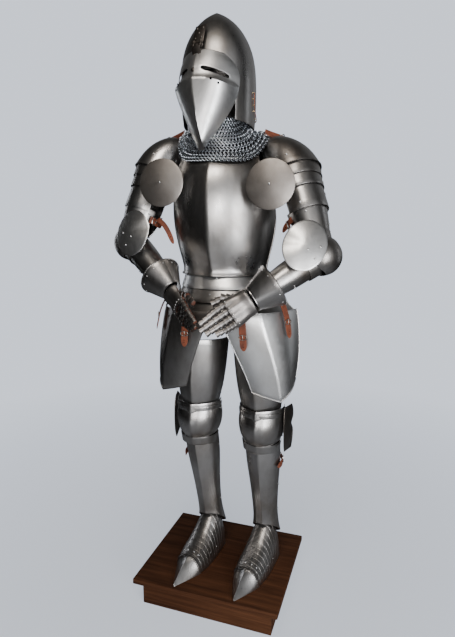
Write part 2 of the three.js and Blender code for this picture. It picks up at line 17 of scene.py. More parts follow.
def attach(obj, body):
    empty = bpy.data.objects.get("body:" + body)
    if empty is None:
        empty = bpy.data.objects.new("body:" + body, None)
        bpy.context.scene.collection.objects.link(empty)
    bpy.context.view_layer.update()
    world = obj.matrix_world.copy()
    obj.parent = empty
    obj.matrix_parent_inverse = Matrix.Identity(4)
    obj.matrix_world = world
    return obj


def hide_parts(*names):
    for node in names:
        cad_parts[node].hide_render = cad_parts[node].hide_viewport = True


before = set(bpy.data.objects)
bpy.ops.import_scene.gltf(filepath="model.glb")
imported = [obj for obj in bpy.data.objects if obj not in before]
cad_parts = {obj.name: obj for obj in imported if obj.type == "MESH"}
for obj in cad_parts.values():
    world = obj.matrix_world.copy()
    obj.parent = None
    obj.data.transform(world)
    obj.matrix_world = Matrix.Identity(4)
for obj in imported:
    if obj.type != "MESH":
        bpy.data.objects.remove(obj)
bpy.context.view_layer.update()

# %% [markdown]
# The viewer stands a little to the suit's left, at chest height, and looks down slightly. A wide lens this
# close makes the stand's far edge clearly shorter than its near one, so the camera is placed first and
# everything else is judged through it.

# %% Camera
def placed(name, data):
    """Puts a new object in the scene."""
    thing = bpy.data.objects.new(name, data)
    bpy.context.scene.collection.objects.link(thing)
    return thing


VIEW_TURN, VIEW_DROP = math.radians(18.66), math.radians(10.23)
VIEW_FROM, SENSOR, LENS = (0.5396, -1.545, 1.2888), 36, 27.92
camera = placed("camera", bpy.data.cameras.new("camera"))
camera.location = VIEW_FROM
camera.rotation_euler = (math.radians(90) - VIEW_DROP, 0, VIEW_TURN)
camera.data.sensor_width, camera.data.lens = SENSOR, LENS
bpy.context.scene.camera = camera
print("camera", tuple(round(v, 2) for v in camera.location))

# %% [markdown]
# Every operator works on what is selected, so each step starts by selecting one piece alone. Places on the
# suit are given in millimetres from the middle of the board, where the smith would measure them, and turned
# into metres here.

# %% Helpers for selecting and placing
SUIT_BACK, BOARD_TOP = 30, 105


def spot(x, y, z):
    """A point of the suit, in millimetres over the board, as metres in the frame."""
    return Vector((x, y + SUIT_BACK, z + BOARD_TOP)) / 1000


def sin_cos(degrees):
    return math.sin(math.radians(degrees)), math.cos(math.radians(degrees))


def axes_near(z, y, side=1):
    """Axes with Z along one line and Y as near to another as it can be."""
    y = y - z * y.dot(z)
    y = y.normalized() if y.length > 1e-6 else z.orthogonal().normalized()
    return Matrix((y.cross(z) * side, y, z)).transposed().to_4x4()


def only(*pieces):
    bpy.ops.object.select_all(action="DESELECT")
    for piece in pieces:
        piece.select_set(True)
    bpy.context.view_layer.objects.active = pieces[0]


def add(shape, name, **sizes):
    """Adds one of the ready-made shapes and names it."""
    bpy.ops.object.select_all(action="DESELECT")
    getattr(bpy.ops.mesh, f"primitive_{shape}_add")(**sizes)
    bpy.context.object.name = name
    return bpy.context.object


@contextmanager
def editing():
    """Opens the active mesh with all of it selected, and closes it again."""
    bpy.ops.object.mode_set(mode="EDIT")
    bpy.ops.mesh.select_all(action="SELECT")
    yield
    bpy.ops.object.mode_set(mode="OBJECT")


def delete_faces(piece, unwanted):
    only(piece)
    for polygon in piece.data.polygons:
        polygon.select = unwanted(polygon)
    bpy.ops.object.mode_set(mode="EDIT")
    bpy.ops.mesh.select_mode(type="FACE")
    bpy.ops.mesh.delete(type="FACE")
    bpy.ops.object.mode_set(mode="OBJECT")


def modify(piece, kind, **settings):
    """Puts a modifier on a piece, to be applied later."""
    modifier = piece.modifiers.new(kind.lower(), kind)
    for setting, value in settings.items():
        setattr(modifier, setting, value)


def apply_modifiers(piece):
    only(piece)
    for name in [m.name for m in piece.modifiers]:
        bpy.ops.object.modifier_apply(modifier=name)
    return piece


def join(name, pieces):
    only(*pieces)
    if len(pieces) > 1:
        bpy.ops.object.join()
    pieces[0].name = name
    return pieces[0]


def finish(piece, material, body="harness", replaced=(), smooth=40):
    """Gives a piece its material and its place on a body, and stands it in for CAD nodes."""
    piece.data.materials.clear()
    piece.data.materials.append(material)
    only(piece)
    bpy.ops.object.shade_smooth_by_angle(angle=math.radians(smooth))
    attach(piece, body)
    if replaced:
        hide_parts(*replaced)
    return piece


# %% [markdown]
# ## Finishes
# The steel is darkened in oil and then brushed, so it is bright where the brush reached and brown-black
# where it did not. Two noises do this: a broad cloudy one shifts the colour and the roughness, and a fine
# one, drawn out along the plate, is the brushing. All read Object coordinates, because every piece keeps its
# place in its mesh.

# %% A small kit for materials
def fill_in(tree, node, inputs):
    """Gives each input of a node its value, or links it to another node's output."""
    for name, value in inputs.items():
        if isinstance(value, bpy.types.NodeSocket):
            tree.links.new(value, node.inputs[name])
        else:
            node.inputs[name].default_value = value
    return node


def add_node(tree, kind, inputs=None, **settings):
    node = tree.nodes.new("ShaderNode" + kind)
    for setting, value in settings.items():
        setattr(node, setting, value)
    return fill_in(tree, node, inputs or {})


def new_material(name):
    material = bpy.data.materials.new(name)
    material.use_nodes = True
    return material, material.node_tree, material.node_tree.nodes["Principled BSDF"]


def object_place(tree):
    return add_node(tree, "TexCoord").outputs["Object"]


def noise(tree, coordinates, scale, detail, stretch=(1, 1, 1), rough=0.55):
    mapping = add_node(tree, "Mapping", {"Scale": stretch, "Vector": coordinates})
    return add_node(tree, "TexNoise", {"Scale": scale, "Detail": detail, "Roughness": rough,
                                       "Vector": mapping.outputs["Vector"]}).outputs["Fac"]


def ramp(tree, value, stops):
    node = add_node(tree, "ValToRGB", {"Fac": value})
    while len(node.color_ramp.elements) < len(stops):
        node.color_ramp.elements.new(0.5)
    for element, (place, colour) in zip(node.color_ramp.elements, stops):
        element.position = place
        element.color = (*colour, 1)
    return node.outputs["Color"]


def spread(tree, value, low, high, start=0.3, end=0.7):
    return add_node(tree, "MapRange", {"From Min": start, "From Max": end, "To Min": low, "To Max": high,
                                       "Value": value}).outputs["Result"]


def bump(tree, height, strength, distance, below=None):
    node = add_node(tree, "Bump", {"Strength": strength, "Distance": distance, "Height": height})
    if below is not None:
        tree.links.new(below, node.inputs["Normal"])
    return node.outputs["Normal"]


# %% Blackened steel
def steel_finish(name, bright, mid, dark, rough_low, rough_high, stretch=(1, 1, 1)):
    """stretch draws the brushing out along an axis where its number is small."""
    material, tree, shader = new_material(name)
    place = object_place(tree)
    cloud = noise(tree, place, 7.0, 6.0, (1, 1, 0.7))
    brushing = noise(tree, place, 90.0, 5.0, stretch, 0.7)
    dents = noise(tree, place, 16.0, 2.0)
    colour = ramp(tree, cloud, [(0.3, dark), (0.52, mid), (0.72, bright)])
    roughness = add_node(tree, "Math", {0: spread(tree, cloud, rough_high, rough_low),
                                        1: spread(tree, brushing, -0.04, 0.04)}, operation="ADD")
    beaten = bump(tree, dents, 0.07, 0.003)
    fill_in(tree, shader, {"Base Color": colour, "Metallic": 1, "Roughness": roughness.outputs["Value"],
                           "Normal": bump(tree, brushing, 0.05, 0.0004, beaten)})
    return material


steel = steel_finish("blackened_steel", (0.56, 0.55, 0.545), (0.38, 0.366, 0.355), (0.18, 0.158, 0.14),
                     0.27, 0.41, (1, 1, 0.12))
bright_steel = steel_finish("bright_steel", (0.82, 0.82, 0.83), (0.7, 0.7, 0.7), (0.5, 0.49, 0.48),
                            0.3, 0.42, (1, 0.15, 1))
worn_steel = steel_finish("worn_steel", (0.44, 0.41, 0.385), (0.3, 0.275, 0.255), (0.16, 0.14, 0.125),
                          0.42, 0.55, (0.2, 1, 0.6))
hand_steel = steel_finish("hand_steel", (0.36, 0.34, 0.33), (0.23, 0.215, 0.205), (0.11, 0.1, 0.09),
                          0.36, 0.5)
ring_steel = steel_finish("mail_steel", (0.64, 0.67, 0.72), (0.5, 0.53, 0.57), (0.28, 0.3, 0.33),
                          0.25, 0.4)
dark_steel = steel_finish("dark_steel", (0.26, 0.235, 0.215), (0.17, 0.15, 0.135), (0.08, 0.07, 0.06),
                          0.3, 0.45, (1, 1, 0.3))
mail_shadow = steel_finish("mail_shadow", (0.05, 0.05, 0.055), (0.03, 0.03, 0.034), (0.015, 0.015, 0.018),
                           0.6, 0.75)
buckle_steel = steel_finish("buckle_steel", (0.7, 0.69, 0.66), (0.5, 0.48, 0.45), (0.3, 0.28, 0.25),
                            0.25, 0.4)
brass = steel_finish("brass", (0.72, 0.56, 0.34), (0.55, 0.42, 0.24), (0.3, 0.22, 0.12),
                     0.28, 0.42)
# Painted shade: a near-black finish for the dark discs that stand for the shaded insides of holes.
hole_shade_finish = steel_finish("painted_hole_shade", (0.012, 0.011, 0.01), (0.008, 0.008, 0.008), (0.004, 0.004, 0.004),
                          0.8, 0.9)

# %% [markdown]
# The leather is thick harness leather, dyed red-brown and waxed. Its grain is a fine cell pattern, and it is
# darker where hands and oil have been. The gloves inside the gauntlets are the same hide.

# %% Leather
def leather_finish(name, light, dark):
    material, tree, shader = new_material(name)
    place = object_place(tree)
    wear = noise(tree, place, 38.0, 6.0)
    cells = add_node(tree, "TexVoronoi", {"Scale": 700.0, "Vector": place})
    fill_in(tree, shader, {"Base Color": ramp(tree, wear, [(0.32, dark), (0.68, light)]),
                           "Roughness": spread(tree, wear, 0.62, 0.42),
                           "Normal": bump(tree, cells.outputs["Distance"], 0.35, 0.0006)})
    return material


leather = leather_finish("red_brown_leather", (0.27, 0.075, 0.035), (0.11, 0.03, 0.016))
glove_leather = leather_finish("glove_leather", (0.2, 0.07, 0.04), (0.06, 0.024, 0.016))
black_lace = leather_finish("black_lace", (0.03, 0.025, 0.022), (0.012, 0.01, 0.01))

# %% [markdown]
# The stand is a softwood board on a box, stained a dark red-brown. Grain is a noise drawn out along the
# board's width: long dark lines that the stain sank into, over slow changes of colour.

# %% Stained wood
STAIN = [(0.33, (0.044, 0.017, 0.008)), (0.5, (0.074, 0.029, 0.013)), (0.68, (0.11, 0.044, 0.02))]

wood, tree, shader = new_material("stained_wood")
place = object_place(tree)
lines = noise(tree, place, 60.0, 6.0, (0.06, 1, 1.4), 0.65)
slow = noise(tree, place, 5.0, 3.0, (0.5, 1, 1))
mix = add_node(tree, "Mix", data_type="RGBA", blend_type="MULTIPLY")
fill_in(tree, mix, {"Factor": 0.6, "A": ramp(tree, lines, STAIN),
                    "B": ramp(tree, slow, [(0.3, (0.5, 0.45, 0.42)), (0.7, (1, 1, 1))])})
fill_in(tree, shader, {"Base Color": mix.outputs["Result"], "Roughness": spread(tree, lines, 0.8, 0.66),
                       "Specular IOR Level": 0.12, "Normal": bump(tree, lines, 0.25, 0.0012)})
print("finishes", [m.name for m in bpy.data.materials if m.use_nodes][-6:])

# %% [markdown]
# ## Axes of the limbs
# Each arm and leg is bent, so its plates are laid out on the limb's own axes: the origin at a joint, -Z down
# the limb, -Y towards its front, and +X away from the body. The right side is the mirror of the left, so
# its X axis simply points the other way.

# %% Axes for the head, arms and legs
def limb_axes(start, end, front, side):
    z = (spot(*start) - spot(*end)).normalized()
    return Matrix.Translation(spot(*start)) @ axes_near(z, -Vector(front), side)


def on(axes, x, y, z):
    """A point given in millimetres on some axes."""
    return axes @ (Vector((x, y, z)) / 1000)


def heading(axes, x, y, z):
    """A direction given on some axes."""
    return axes.to_3x3() @ Vector((x, y, z))


def around(axes, degrees, z, reach):
    """A point beside a limb, at degrees from its front, and the way out to it."""
    sine, cosine = sin_cos(degrees)
    out = on(axes, reach * sine, -reach * cosine, z)
    return out, out - on(axes, 0, 0, z)


SIDES = {"left": 1, "right": -1}
SUIT = Matrix.Translation(spot(0, 0, 0))
HEAD_TURN = Matrix.Rotation(math.radians(-10), 4, "Z") @ Matrix.Rotation(math.radians(-1), 4, "Y")
HEAD = Matrix.Translation(spot(-20, -5, 1499)) @ HEAD_TURN
ARMS = {
    "left": dict(shoulder=(218, 0, 1392), elbow=(326, -88, 1108), wrist=(152, -192, 984),
                 tips=(18, -268, 884), back=(0.35, -0.91, 0.19)),
    "right": dict(shoulder=(-221, 0, 1405), elbow=(-297, -85, 1142), wrist=(-111, -188, 997),
                  tips=(-8, -258, 889), back=(-0.6, -0.75, -0.25)),
}
LEGS = {
    "left": dict(hip=(124, -5, 860), knee=(136, -10, 525), ankle=(147, 25, 110)),
    "right": dict(hip=(-82, -5, 860), knee=(-94, -10, 525), ankle=(-64, 25, 110)),
}
FOOT_TURN = Matrix.Rotation(math.radians(-9), 4, "Z")
FRONT = (0, -1, 0)
for name, arm in ARMS.items():
    side = SIDES[name]
    shoulder, elbow, wrist = (Vector(arm[k]) for k in ("shoulder", "elbow", "wrist"))
    up, down = (shoulder - elbow).normalized(), (wrist - elbow).normalized()
    arm["upper"] = limb_axes(arm["shoulder"], arm["elbow"], FRONT, side)
    arm["fore"] = limb_axes(arm["elbow"], arm["wrist"], shoulder - wrist, side)
    arm["point_up"] = limb_axes(arm["elbow"], arm["shoulder"], -(up + down), side)
    arm["point_down"] = limb_axes(arm["elbow"], arm["wrist"], -(up + down), side)
    arm["cuff"] = limb_axes(arm["wrist"], wrist * 2 - elbow, arm["back"], side)
    arm["hand"] = limb_axes(arm["wrist"], arm["tips"], arm["back"], side)
    arm["reach"] = (Vector(arm["tips"]) - wrist).length
for name, leg in LEGS.items():
    side = SIDES[name]
    leg["thigh"] = limb_axes(leg["hip"], leg["knee"], FRONT, side)
    leg["shin"] = limb_axes(leg["knee"], leg["ankle"], FRONT, side)
    leg["bend"] = Matrix.Translation(spot(*leg["knee"])) @ Matrix.Diagonal((side, 1, 1, 1))
    foot = spot(leg["ankle"][0], leg["ankle"][1], 0)
    leg["foot"] = Matrix.Translation(foot) @ FOOT_TURN
print("axes for", len(ARMS), "arms and", len(LEGS), "legs")

# %% [markdown]
# ## From facets to sheet metal
# A plate in the frame is a closed wall: an outer face, an inner face and a rim. A smooth plate needs only
# the outer face as quads. So a copy of the wall is merged, cut along its rim, and the larger side is kept.
# Subdivision rounds it, Solidify gives it back its thickness inwards, and a small bevel catches the light
# on the rim as a filed edge does. Ridges keep their line because their edges are creased first.

# %% Copy a wall and keep its outer face
SAME_POINT = 0.00002
RIM_FOLD = 62  # degrees, the fold that marks a plate's rim


def wall_copy(node, name):
    """A merged copy of a node's mesh."""
    piece = placed(name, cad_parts[node].data.copy())
    only(piece)
    with editing():
        bpy.ops.mesh.remove_doubles(threshold=SAME_POINT)
    return piece


def largest_part(mesh):
    """The numbers of the faces in the largest part that hangs together."""
    build = bmesh.new()
    build.from_mesh(mesh)
    seen, best = set(), (0.0, set())
    for face in build.faces:
        if face.index in seen:
            continue
        seen.add(face.index)
        part, waiting, area = set(), [face], 0.0
        while waiting:
            here = waiting.pop()
            part.add(here.index)
            area += here.calc_area()
            for edge in here.edges:
                for other in edge.link_faces:
                    if other.index not in seen:
                        seen.add(other.index)
                        waiting.append(other)
        best = max(best, (area, part), key=lambda pair: pair[0])
    build.free()
    return best[1]


def outer_face(node, name):
    """The outer face of a plate, as quads."""
    piece = wall_copy(node, name)
    with editing():
        bpy.ops.mesh.select_mode(type="EDGE")
        bpy.ops.mesh.select_all(action="DESELECT")
        bpy.ops.mesh.edges_select_sharp(sharpness=math.radians(RIM_FOLD))
        bpy.ops.mesh.edge_split(type="EDGE")
        bpy.ops.mesh.select_all(action="DESELECT")
    keep = largest_part(piece.data)
    delete_faces(piece, lambda polygon: polygon.index not in keep)
    with editing():
        bpy.ops.mesh.remove_doubles(threshold=SAME_POINT)
        bpy.ops.mesh.tris_convert_to_quads(face_threshold=math.radians(60), shape_threshold=math.radians(60))
    return piece


# %% Keep a ridge, round the rest, and give it thickness
THICK, NEAR, CORNER_REACH = 0.0018, 0.001, 0.006
KEEL_REACH, KEEL_FOLD = 0.002, 3  # metres from the middle, and degrees
RIDGE_CURVE = 1.4  # how hollow a ridge's sides are


@contextmanager
def opened(piece):
    """A piece's mesh with its edges and corners at hand. It's written back at the end."""
    build = bmesh.new()
    build.from_mesh(piece.data)
    yield build
    build.to_mesh(piece.data)
    build.free()


def crease(piece, wanted, strength=0.8):
    """Creases the edges whose two ends and fold, in degrees, are wanted."""
    count = 0
    with opened(piece) as build:
        layer = build.edges.layers.float.get("crease_edge") or build.edges.layers.float.new("crease_edge")
        for edge in build.edges:
            fold = math.degrees(edge.calc_face_angle(0)) if len(edge.link_faces) == 2 else 0
            if wanted(edge.verts[0].co, edge.verts[1].co, fold):
                edge[layer] = strength
                count += 1
    return count


def joining(points):
    """Wants the edges whose two ends both lie at some of the points."""
    return lambda a, b, fold: all(min((p - q).length for q in points) < NEAR for p in (a, b))


def on_keel(axes):
    """Wants the edges that run down the front middle of a plate on these axes."""
    back = axes.inverted()

    def wanted(a, b, fold):
        a, b = back @ a, back @ b
        return max(abs(a.x), abs(b.x)) < KEEL_REACH and a.y < 0 and b.y < 0 and fold > KEEL_FOLD
    return wanted


def hold_corners(piece, places):
    """Keeps the corners of a sheet near some places from being rounded."""
    with opened(piece) as build:
        layer = build.verts.layers.float.get("crease_vert") or build.verts.layers.float.new("crease_vert")
        held = [v for v in build.verts if any((v.co - place).length < CORNER_REACH for place in places)]
        for vertex in held:
            vertex[layer] = 1
        count = len(held)
    return count


def box_of(piece):
    corners = [v.co for v in piece.data.vertices]
    return [(min(c[k] for c in corners), max(c[k] for c in corners)) for k in range(3)]


def regain(piece, box):
    """Rounding draws a sheet in a little. This gives it back the box it had."""
    now = box_of(piece)
    for vertex in piece.data.vertices:
        for k, ((low, high), (was_low, was_high)) in enumerate(zip(now, box)):
            if high - low > 1e-6:
                vertex.co[k] = was_low + (vertex.co[k] - low) * (was_high - was_low) / (high - low)


def draw_ridge(piece, axes, reach, height):
    """Draws the front of a plate forward to a ridge, in millimetres on its axes."""
    back = axes.inverted()
    forward = heading(axes, 0, -0.001, 0)
    for vertex in piece.data.vertices:
        local = (back @ vertex.co) * 1000
        if local.y < 0 and abs(local.x) < reach:
            vertex.co += forward * height * (1 - abs(local.x) / reach) ** RIDGE_CURVE


def round_off(piece, levels=2):
    modify(piece, "SUBSURF", levels=levels, render_levels=levels, boundary_smooth="PRESERVE_CORNERS")
    return apply_modifiers(piece)


def thicken(piece, thick=THICK, bevel=0.0005, offset=-1):
    modify(piece, "SOLIDIFY", thickness=thick, offset=offset, use_even_offset=True, thickness_clamp=1)
    if bevel:
        modify(piece, "BEVEL", width=bevel, segments=2, limit_method="ANGLE", angle_limit=math.radians(60))
    return apply_modifiers(piece)


# %% [markdown]
# A smith turns the edge of a plate over a wire, so that it is stiff and doesn't cut. Here the free edge of
# the smooth face is copied as a line, a round wire is laid along it, and the two are joined. The same wire,
# laid along any line of points, later makes the laces.

# %% Wires
def wire_from(mesh, radius, name):
    """A round wire along the edges of a mesh that has no faces."""
    only(placed(name, mesh))
    bpy.ops.object.convert(target="CURVE")
    curve = bpy.context.object.data
    curve.bevel_depth, curve.bevel_resolution, curve.use_fill_caps = radius, 2, True
    bpy.ops.object.convert(target="MESH")
    bpy.context.object.name = name
    return bpy.context.object


def wire_along(points, radius, name):
    mesh = bpy.data.meshes.new(name)
    mesh.from_pydata(points, [(i, i + 1) for i in range(len(points) - 1)], [])
    return wire_from(mesh, radius, name)


def free_edges(piece):
    """The free edges of a sheet, as a mesh of their own."""
    build, lines, made = bmesh.new(), bmesh.new(), {}
    build.from_mesh(piece.data)
    for edge in build.edges:
        a, b = edge.verts
        if len(edge.link_faces) != 1:
            continue
        for v in (a, b):
            if v.index not in made:
                made[v.index] = lines.verts.new(v.co)
        lines.edges.new((made[a.index], made[b.index]))
    mesh = bpy.data.meshes.new("free edges")
    lines.to_mesh(mesh)
    build.free()
    lines.free()
    return mesh


def turned_edge(piece, radius):
    return wire_from(free_edges(piece), radius, "turned edge")


# %% [markdown]
# ## The plates
# One loop makes most of them, because the work is the same. What differs is written in a table: the axes on
# whose front a plate has a ridge, how far the ridge reaches and stands, the radius of a turned edge where it
# has one, and the finish. The elbow wings and the waist are brushed brighter than the rest, and the knee
# wings are left darker.

# %% Table of plates
plates = {
    "bascinet_skull": dict(corners=[on(HEAD, 0, 0, 343)]),
    "breastplate": dict(keel=SUIT, ridge=(62, 5), edge=0.0026),
    "backplate": dict(edge=0.0022),
    "waist_lame": dict(finish=bright_steel),
    "fauld_upper": {},
    "fauld_lower": dict(edge=0.0016),
    "culet": dict(edge=0.0018),
}
for name in SIDES:
    arm, leg = ARMS[name], LEGS[name]
    plates |= {f"spaulder_lame_{n}_{name}": {} for n in (1, 2, 3)} | {
        f"spaulder_cop_{name}": dict(edge=0.0013),
        f"rerebrace_{name}": {},
        f"couter_{name}": {},
        f"couter_wing_{name}": dict(finish=bright_steel),
        f"vambrace_{name}": {},
        f"gauntlet_cuff_{name}": dict(edge=0.0016),
        f"cuisse_{name}": dict(keel=leg["thigh"], ridge=(44, 8), edge=0.0014),
        f"poleyn_lame_{name}": dict(keel=leg["bend"], ridge=(38, 5)),
        f"poleyn_wing_{name}": dict(edge=0.0013, finish=dark_steel),
        f"greave_{name}": dict(keel=leg["shin"], ridge=(34, 7)),
    }

# %% Make the plates
sheets = {}
for name, plan in plates.items():
    skin = outer_face(name, name + "_plate")
    box = box_of(skin)
    if "keel" in plan:
        print(name, "keel edges", crease(skin, on_keel(plan["keel"]), 1))
    if "corners" in plan:
        print(name, "held corners", hold_corners(skin, plan["corners"]))
    round_off(skin)
    regain(skin, box)
    if "ridge" in plan:
        draw_ridge(skin, plan["keel"], *plan["ridge"])
    wire = turned_edge(skin, plan["edge"]) if "edge" in plan else None
    thicken(skin)
    if wire:
        skin = join(name + "_plate", [skin, wire])
    sheets[name] = finish(skin, plan.get("finish", steel), replaced=[name])
print("plates", len(sheets), "faces", sum(len(p.data.polygons) for p in sheets.values()))

# %% [markdown]
# ## Plates from rows of points
# Small lames, the visor and the feet are easier to lay out afresh. A grid is added with as many squares as
# the plate needs, and each corner is moved to its place. A row of a plate is mostly an arc round a limb, so
# one function gives that: a half width, a reach to the front, and a keel if it has one.

# %% A plate from a grid
def arc_row(axes, columns, turn, keel, z, wide, deep, droop=0):
    """A row of points from -X by the front to +X, ending at a turn in degrees from the front."""
    row = []
    for i in range(columns + 1):
        degrees = -turn + 2 * turn * i / columns
        sine, cosine = sin_cos(degrees)
        grown = 1 + keel * max(0, 1 - abs(degrees) / 30) / deep
        sag = droop * max(0, cosine) ** 2
        row.append(on(axes, wide * sine * grown, -deep * cosine * grown, z - sag))
    return row


def grid_plate(name, rows, mirrored=False):
    """A sheet through rows of points, listed upwards, each from -X by the front to +X."""
    if mirrored:
        rows = [row[::-1] for row in rows]
    down, across = len(rows) - 1, len(rows[0]) - 1
    sheet = add("grid", name, x_subdivisions=across, y_subdivisions=down, size=2)
    for vertex in sheet.data.vertices:
        i, j = (vertex.co.x + 1) / 2 * across, (vertex.co.y + 1) / 2 * down
        vertex.co = rows[round(j)][round(i)]
    return sheet


def lame(name, axes, rows, turn, keel, columns, edge=0):
    """A plate round a limb, through rows that give height, half width, reach to the front and droop."""
    points = [arc_row(axes, columns, turn, keel, *row) for row in rows]
    sheet = grid_plate(name, points, axes.determinant() < 0)
    if keel:
        crease(sheet, on_keel(axes))
    round_off(sheet)
    wire = turned_edge(sheet, edge) if edge else None
    thicken(sheet, thick=0.0016, bevel=0.0004)
    return join(name, [sheet, wire]) if wire else sheet


# %% [markdown]
# The knee cup is the deepest plate of the leg. Its rows bulge to the front, the lower ones droop there, and a
# keel carries on the line of the thigh's ridge.

# %% Knee cups
CUP_ROWS = [(-46, 66, 60, 14), (-34, 73, 76, 9), (-10, 79, 86, 2), (18, 81, 88), (38, 79, 82), (50, 77, 78)]
for name, leg in LEGS.items():
    cup = lame(f"poleyn_{name}_plate", leg["bend"], CUP_ROWS, turn=106, keel=6, columns=14, edge=0.0012)
    sheets[f"poleyn_{name}"] = finish(cup, steel, replaced=[f"poleyn_{name}"])

# %% [markdown]
# ## Tassets
# A tasset is a leaf of plate that hangs over the thigh. It's folded once along its length, and both halves
# are a little hollow. Each row runs from the inner edge to the fold and on to the outer edge. The fold and
# the three lower corners stay sharp.

# %% Hang the tassets
HIPS_X = 24
TASSET = [  # inner edge, fold and outer edge of each row, from the lower end up
    ((112, -140, 678), (203, -128, 652), (232, -42, 712)),
    ((96, -150, 730), (196, -140, 720), (238, -38, 758)),
    ((74, -162, 786), (182, -152, 786), (240, -34, 808)),
    ((46, -174, 852), (164, -163, 852), (237, -31, 862)),
    ((18, -182, 918), (143, -168, 918), (231, -28, 918)),
    ((18, -175, 934), (140, -161, 934), (226, -28, 934)),
]


def bowed(a, b, bow):
    """Four points from a towards b, bowed to one side in the middle."""
    a, b, bow = Vector(a), Vector(b), Vector(bow)
    return [a.lerp(b, n / 4) + bow * math.sin(math.pi * n / 4) for n in range(4)]


for name, side in SIDES.items():
    axes = Matrix.Translation(spot(HIPS_X, 0, 0)) @ Matrix.Diagonal((side, 1, 1, 1))
    rows = [[on(axes, *p) for p in (*bowed(inner, fold, (0, -5, 0)), *bowed(fold, outer, (12, -12, 0)), outer)]
            for inner, fold, outer in TASSET]
    folds, low = [row[4] for row in rows], rows[0]
    tasset = grid_plate(f"tasset_{name}_plate", rows, side < 0)
    crease(tasset, joining(folds), 1)
    hold_corners(tasset, [low[0], low[4], low[-1]])
    round_off(tasset)
    wire = turned_edge(tasset, 0.0016)
    thicken(tasset)
    light_matched_finish = bright_steel if name == "left" else steel  # painted light: the left tasset gets the brighter steel because it is lit, while the right one is in shade
    finish(join(f"tasset_{name}_plate", [tasset, wire]), light_matched_finish, replaced=[f"tasset_{name}"])

# %% [markdown]
# ## The visor
# The visor of this helmet is a pointed beak under a stepped brow. It's drawn out from one sheet, so it has
# no seams: a keel runs down the middle, a sharp step crosses it under the sights, and the sights are two
# arched slits cut where the step has stiffened the metal. Rows from the chin to the brow give the shape, and
# the keel and the step are creased.

# %% Rows of the visor
VISOR_ROWS = [  # z, half width, y at the side and in front, sharpness, droop, lean and bend
    (-80, 4, -117, -121, 0.6, 0, 20), (-66, 18, -110, -127, 0.6, 0, 17), (-34, 40, -95, -139, 0.45, 0, 12, 3),
    (8, 66, -80, -148, 0.38, 2, 7, 3.6), (52, 89, -66, -154, 0.34, 8, 3, 4.4),
    (92, 102, -62, -157, 0.3, 15, 0, 5.4), (117, 106, -61, -159, 0.28, 23, 0, 6.2),
    (129, 107, -60, -149, 0.22, 31, 0, 3.4), (141, 108, -60, -147, 0.18, 38), (154, 109, -60, -145, 0.18, 39),
    (171, 108, -60, -137, 0.16, 34), (190, 98, -68, -127, 0.16, 26), (203, 73, -88, -119, 0.14, 14),
]
VISOR_COLUMNS, STEP_ROW, SIGHT_ROW = 16, 6, 8


def visor_row(z, half, side, front, sharp, droop, lean=0, bend=2.6):
    """A row of the visor. lean moves its middle sideways, and a higher bend keeps it full beside the keel."""
    row = []
    for i in range(VISOR_COLUMNS + 1):
        s = math.sin((2 * i / VISOR_COLUMNS - 1) * math.pi / 2)
        fall = sharp * abs(s) + (1 - sharp) * abs(s) ** bend
        x = half * s + lean * (1 - abs(s))
        row.append(on(HEAD, x, side + (front - side) * (1 - fall), z - droop * s * s))
    return row


# %% Shape the visor
visor_points = [visor_row(*row) for row in VISOR_ROWS]
visor = grid_plate("visor_shell", visor_points)
SIGHT_COLUMNS = (3, 4, 5, 6, 9, 10, 11, 12)
sight_centres = [sum((visor_points[j][k] for j in (SIGHT_ROW, SIGHT_ROW + 1) for k in (i, i + 1)), Vector()) / 4
                 for i in SIGHT_COLUMNS]
delete_faces(visor, lambda polygon: any((polygon.center - centre).length < 0.002 for centre in sight_centres))
crease(visor, joining([row[VISOR_COLUMNS // 2] for row in visor_points]), 1)
crease(visor, joining(visor_points[STEP_ROW]), 0.9)
round_off(visor)
thicken(visor)
print("visor faces", len(visor.data.polygons))

# %% [markdown]
# ## Finding a place on a plate
# Rivets, buckles and pegs sit on the metal and stand square to it. A straight line is drawn to the plate
# from outside, and where it meets the plate gives the place and the direction.

# %% Helpers for small parts
surfaces = {}


def meet(piece, point, outward, start=0.05):
    """Where a line from outside meets a piece: its place and the way it faces."""
    if piece.name not in surfaces:
        mesh = piece.data
        corners = [v.co.copy() for v in mesh.vertices]
        surfaces[piece.name] = BVHTree.FromPolygons(corners, [tuple(p.vertices) for p in mesh.polygons])
    outward = outward.normalized()
    place, normal, _, _ = surfaces[piece.name].ray_cast(point + outward * start, -outward)
    if place is None:
        place, normal, _, _ = surfaces[piece.name].find_nearest(point)
    if normal.dot(outward) < 0:
        normal = -normal
    return place, normal


def stand_on(place, normal, along=Vector((0, 0, 1))):
    """Axes at a place, with Z along the normal and Y as near along as it can be."""
    return Matrix.Translation(place) @ axes_near(normal.normalized(), along)


def copy_onto(model, axes):
    """A copy of a model with its own mesh, moved onto some axes."""
    twin = model.copy()
    twin.data = model.data.copy()
    bpy.context.scene.collection.objects.link(twin)
    twin.data.transform(axes)
    if axes.determinant() < 0:
        twin.data.flip_normals()
    return twin


def discard(*models):
    for model in models:
        bpy.data.objects.remove(model, do_unlink=True)


# %% [markdown]
# ## Rivets
# A rivet's head is a low dome. It starts as a small sphere, is cut off below its widest line, and is
# flattened. Each one gets a copy at its place. They're cut at the foot rather than sunk in, so nothing of
# them shows inside the plate.

# %% One rivet
def rivet_model(radius, height):
    model = add("uv_sphere", "rivet model", segments=12, ring_count=8, radius=radius)
    with editing():
        bpy.ops.mesh.bisect(plane_co=(0, 0, 0), plane_no=(0, 0, 1), clear_inner=True, use_fill=True)
        bpy.ops.mesh.select_all(action="SELECT")
        bpy.ops.transform.resize(value=(1, 1, height / radius))
    return model


rivet, small_rivet = rivet_model(0.0033, 0.0019), rivet_model(0.0021, 0.0013)
viewer = camera.location.copy()


def rivet_on(piece, point, outward, model=rivet):
    place, normal = meet(piece, point, outward)
    return copy_onto(model, stand_on(place, normal))


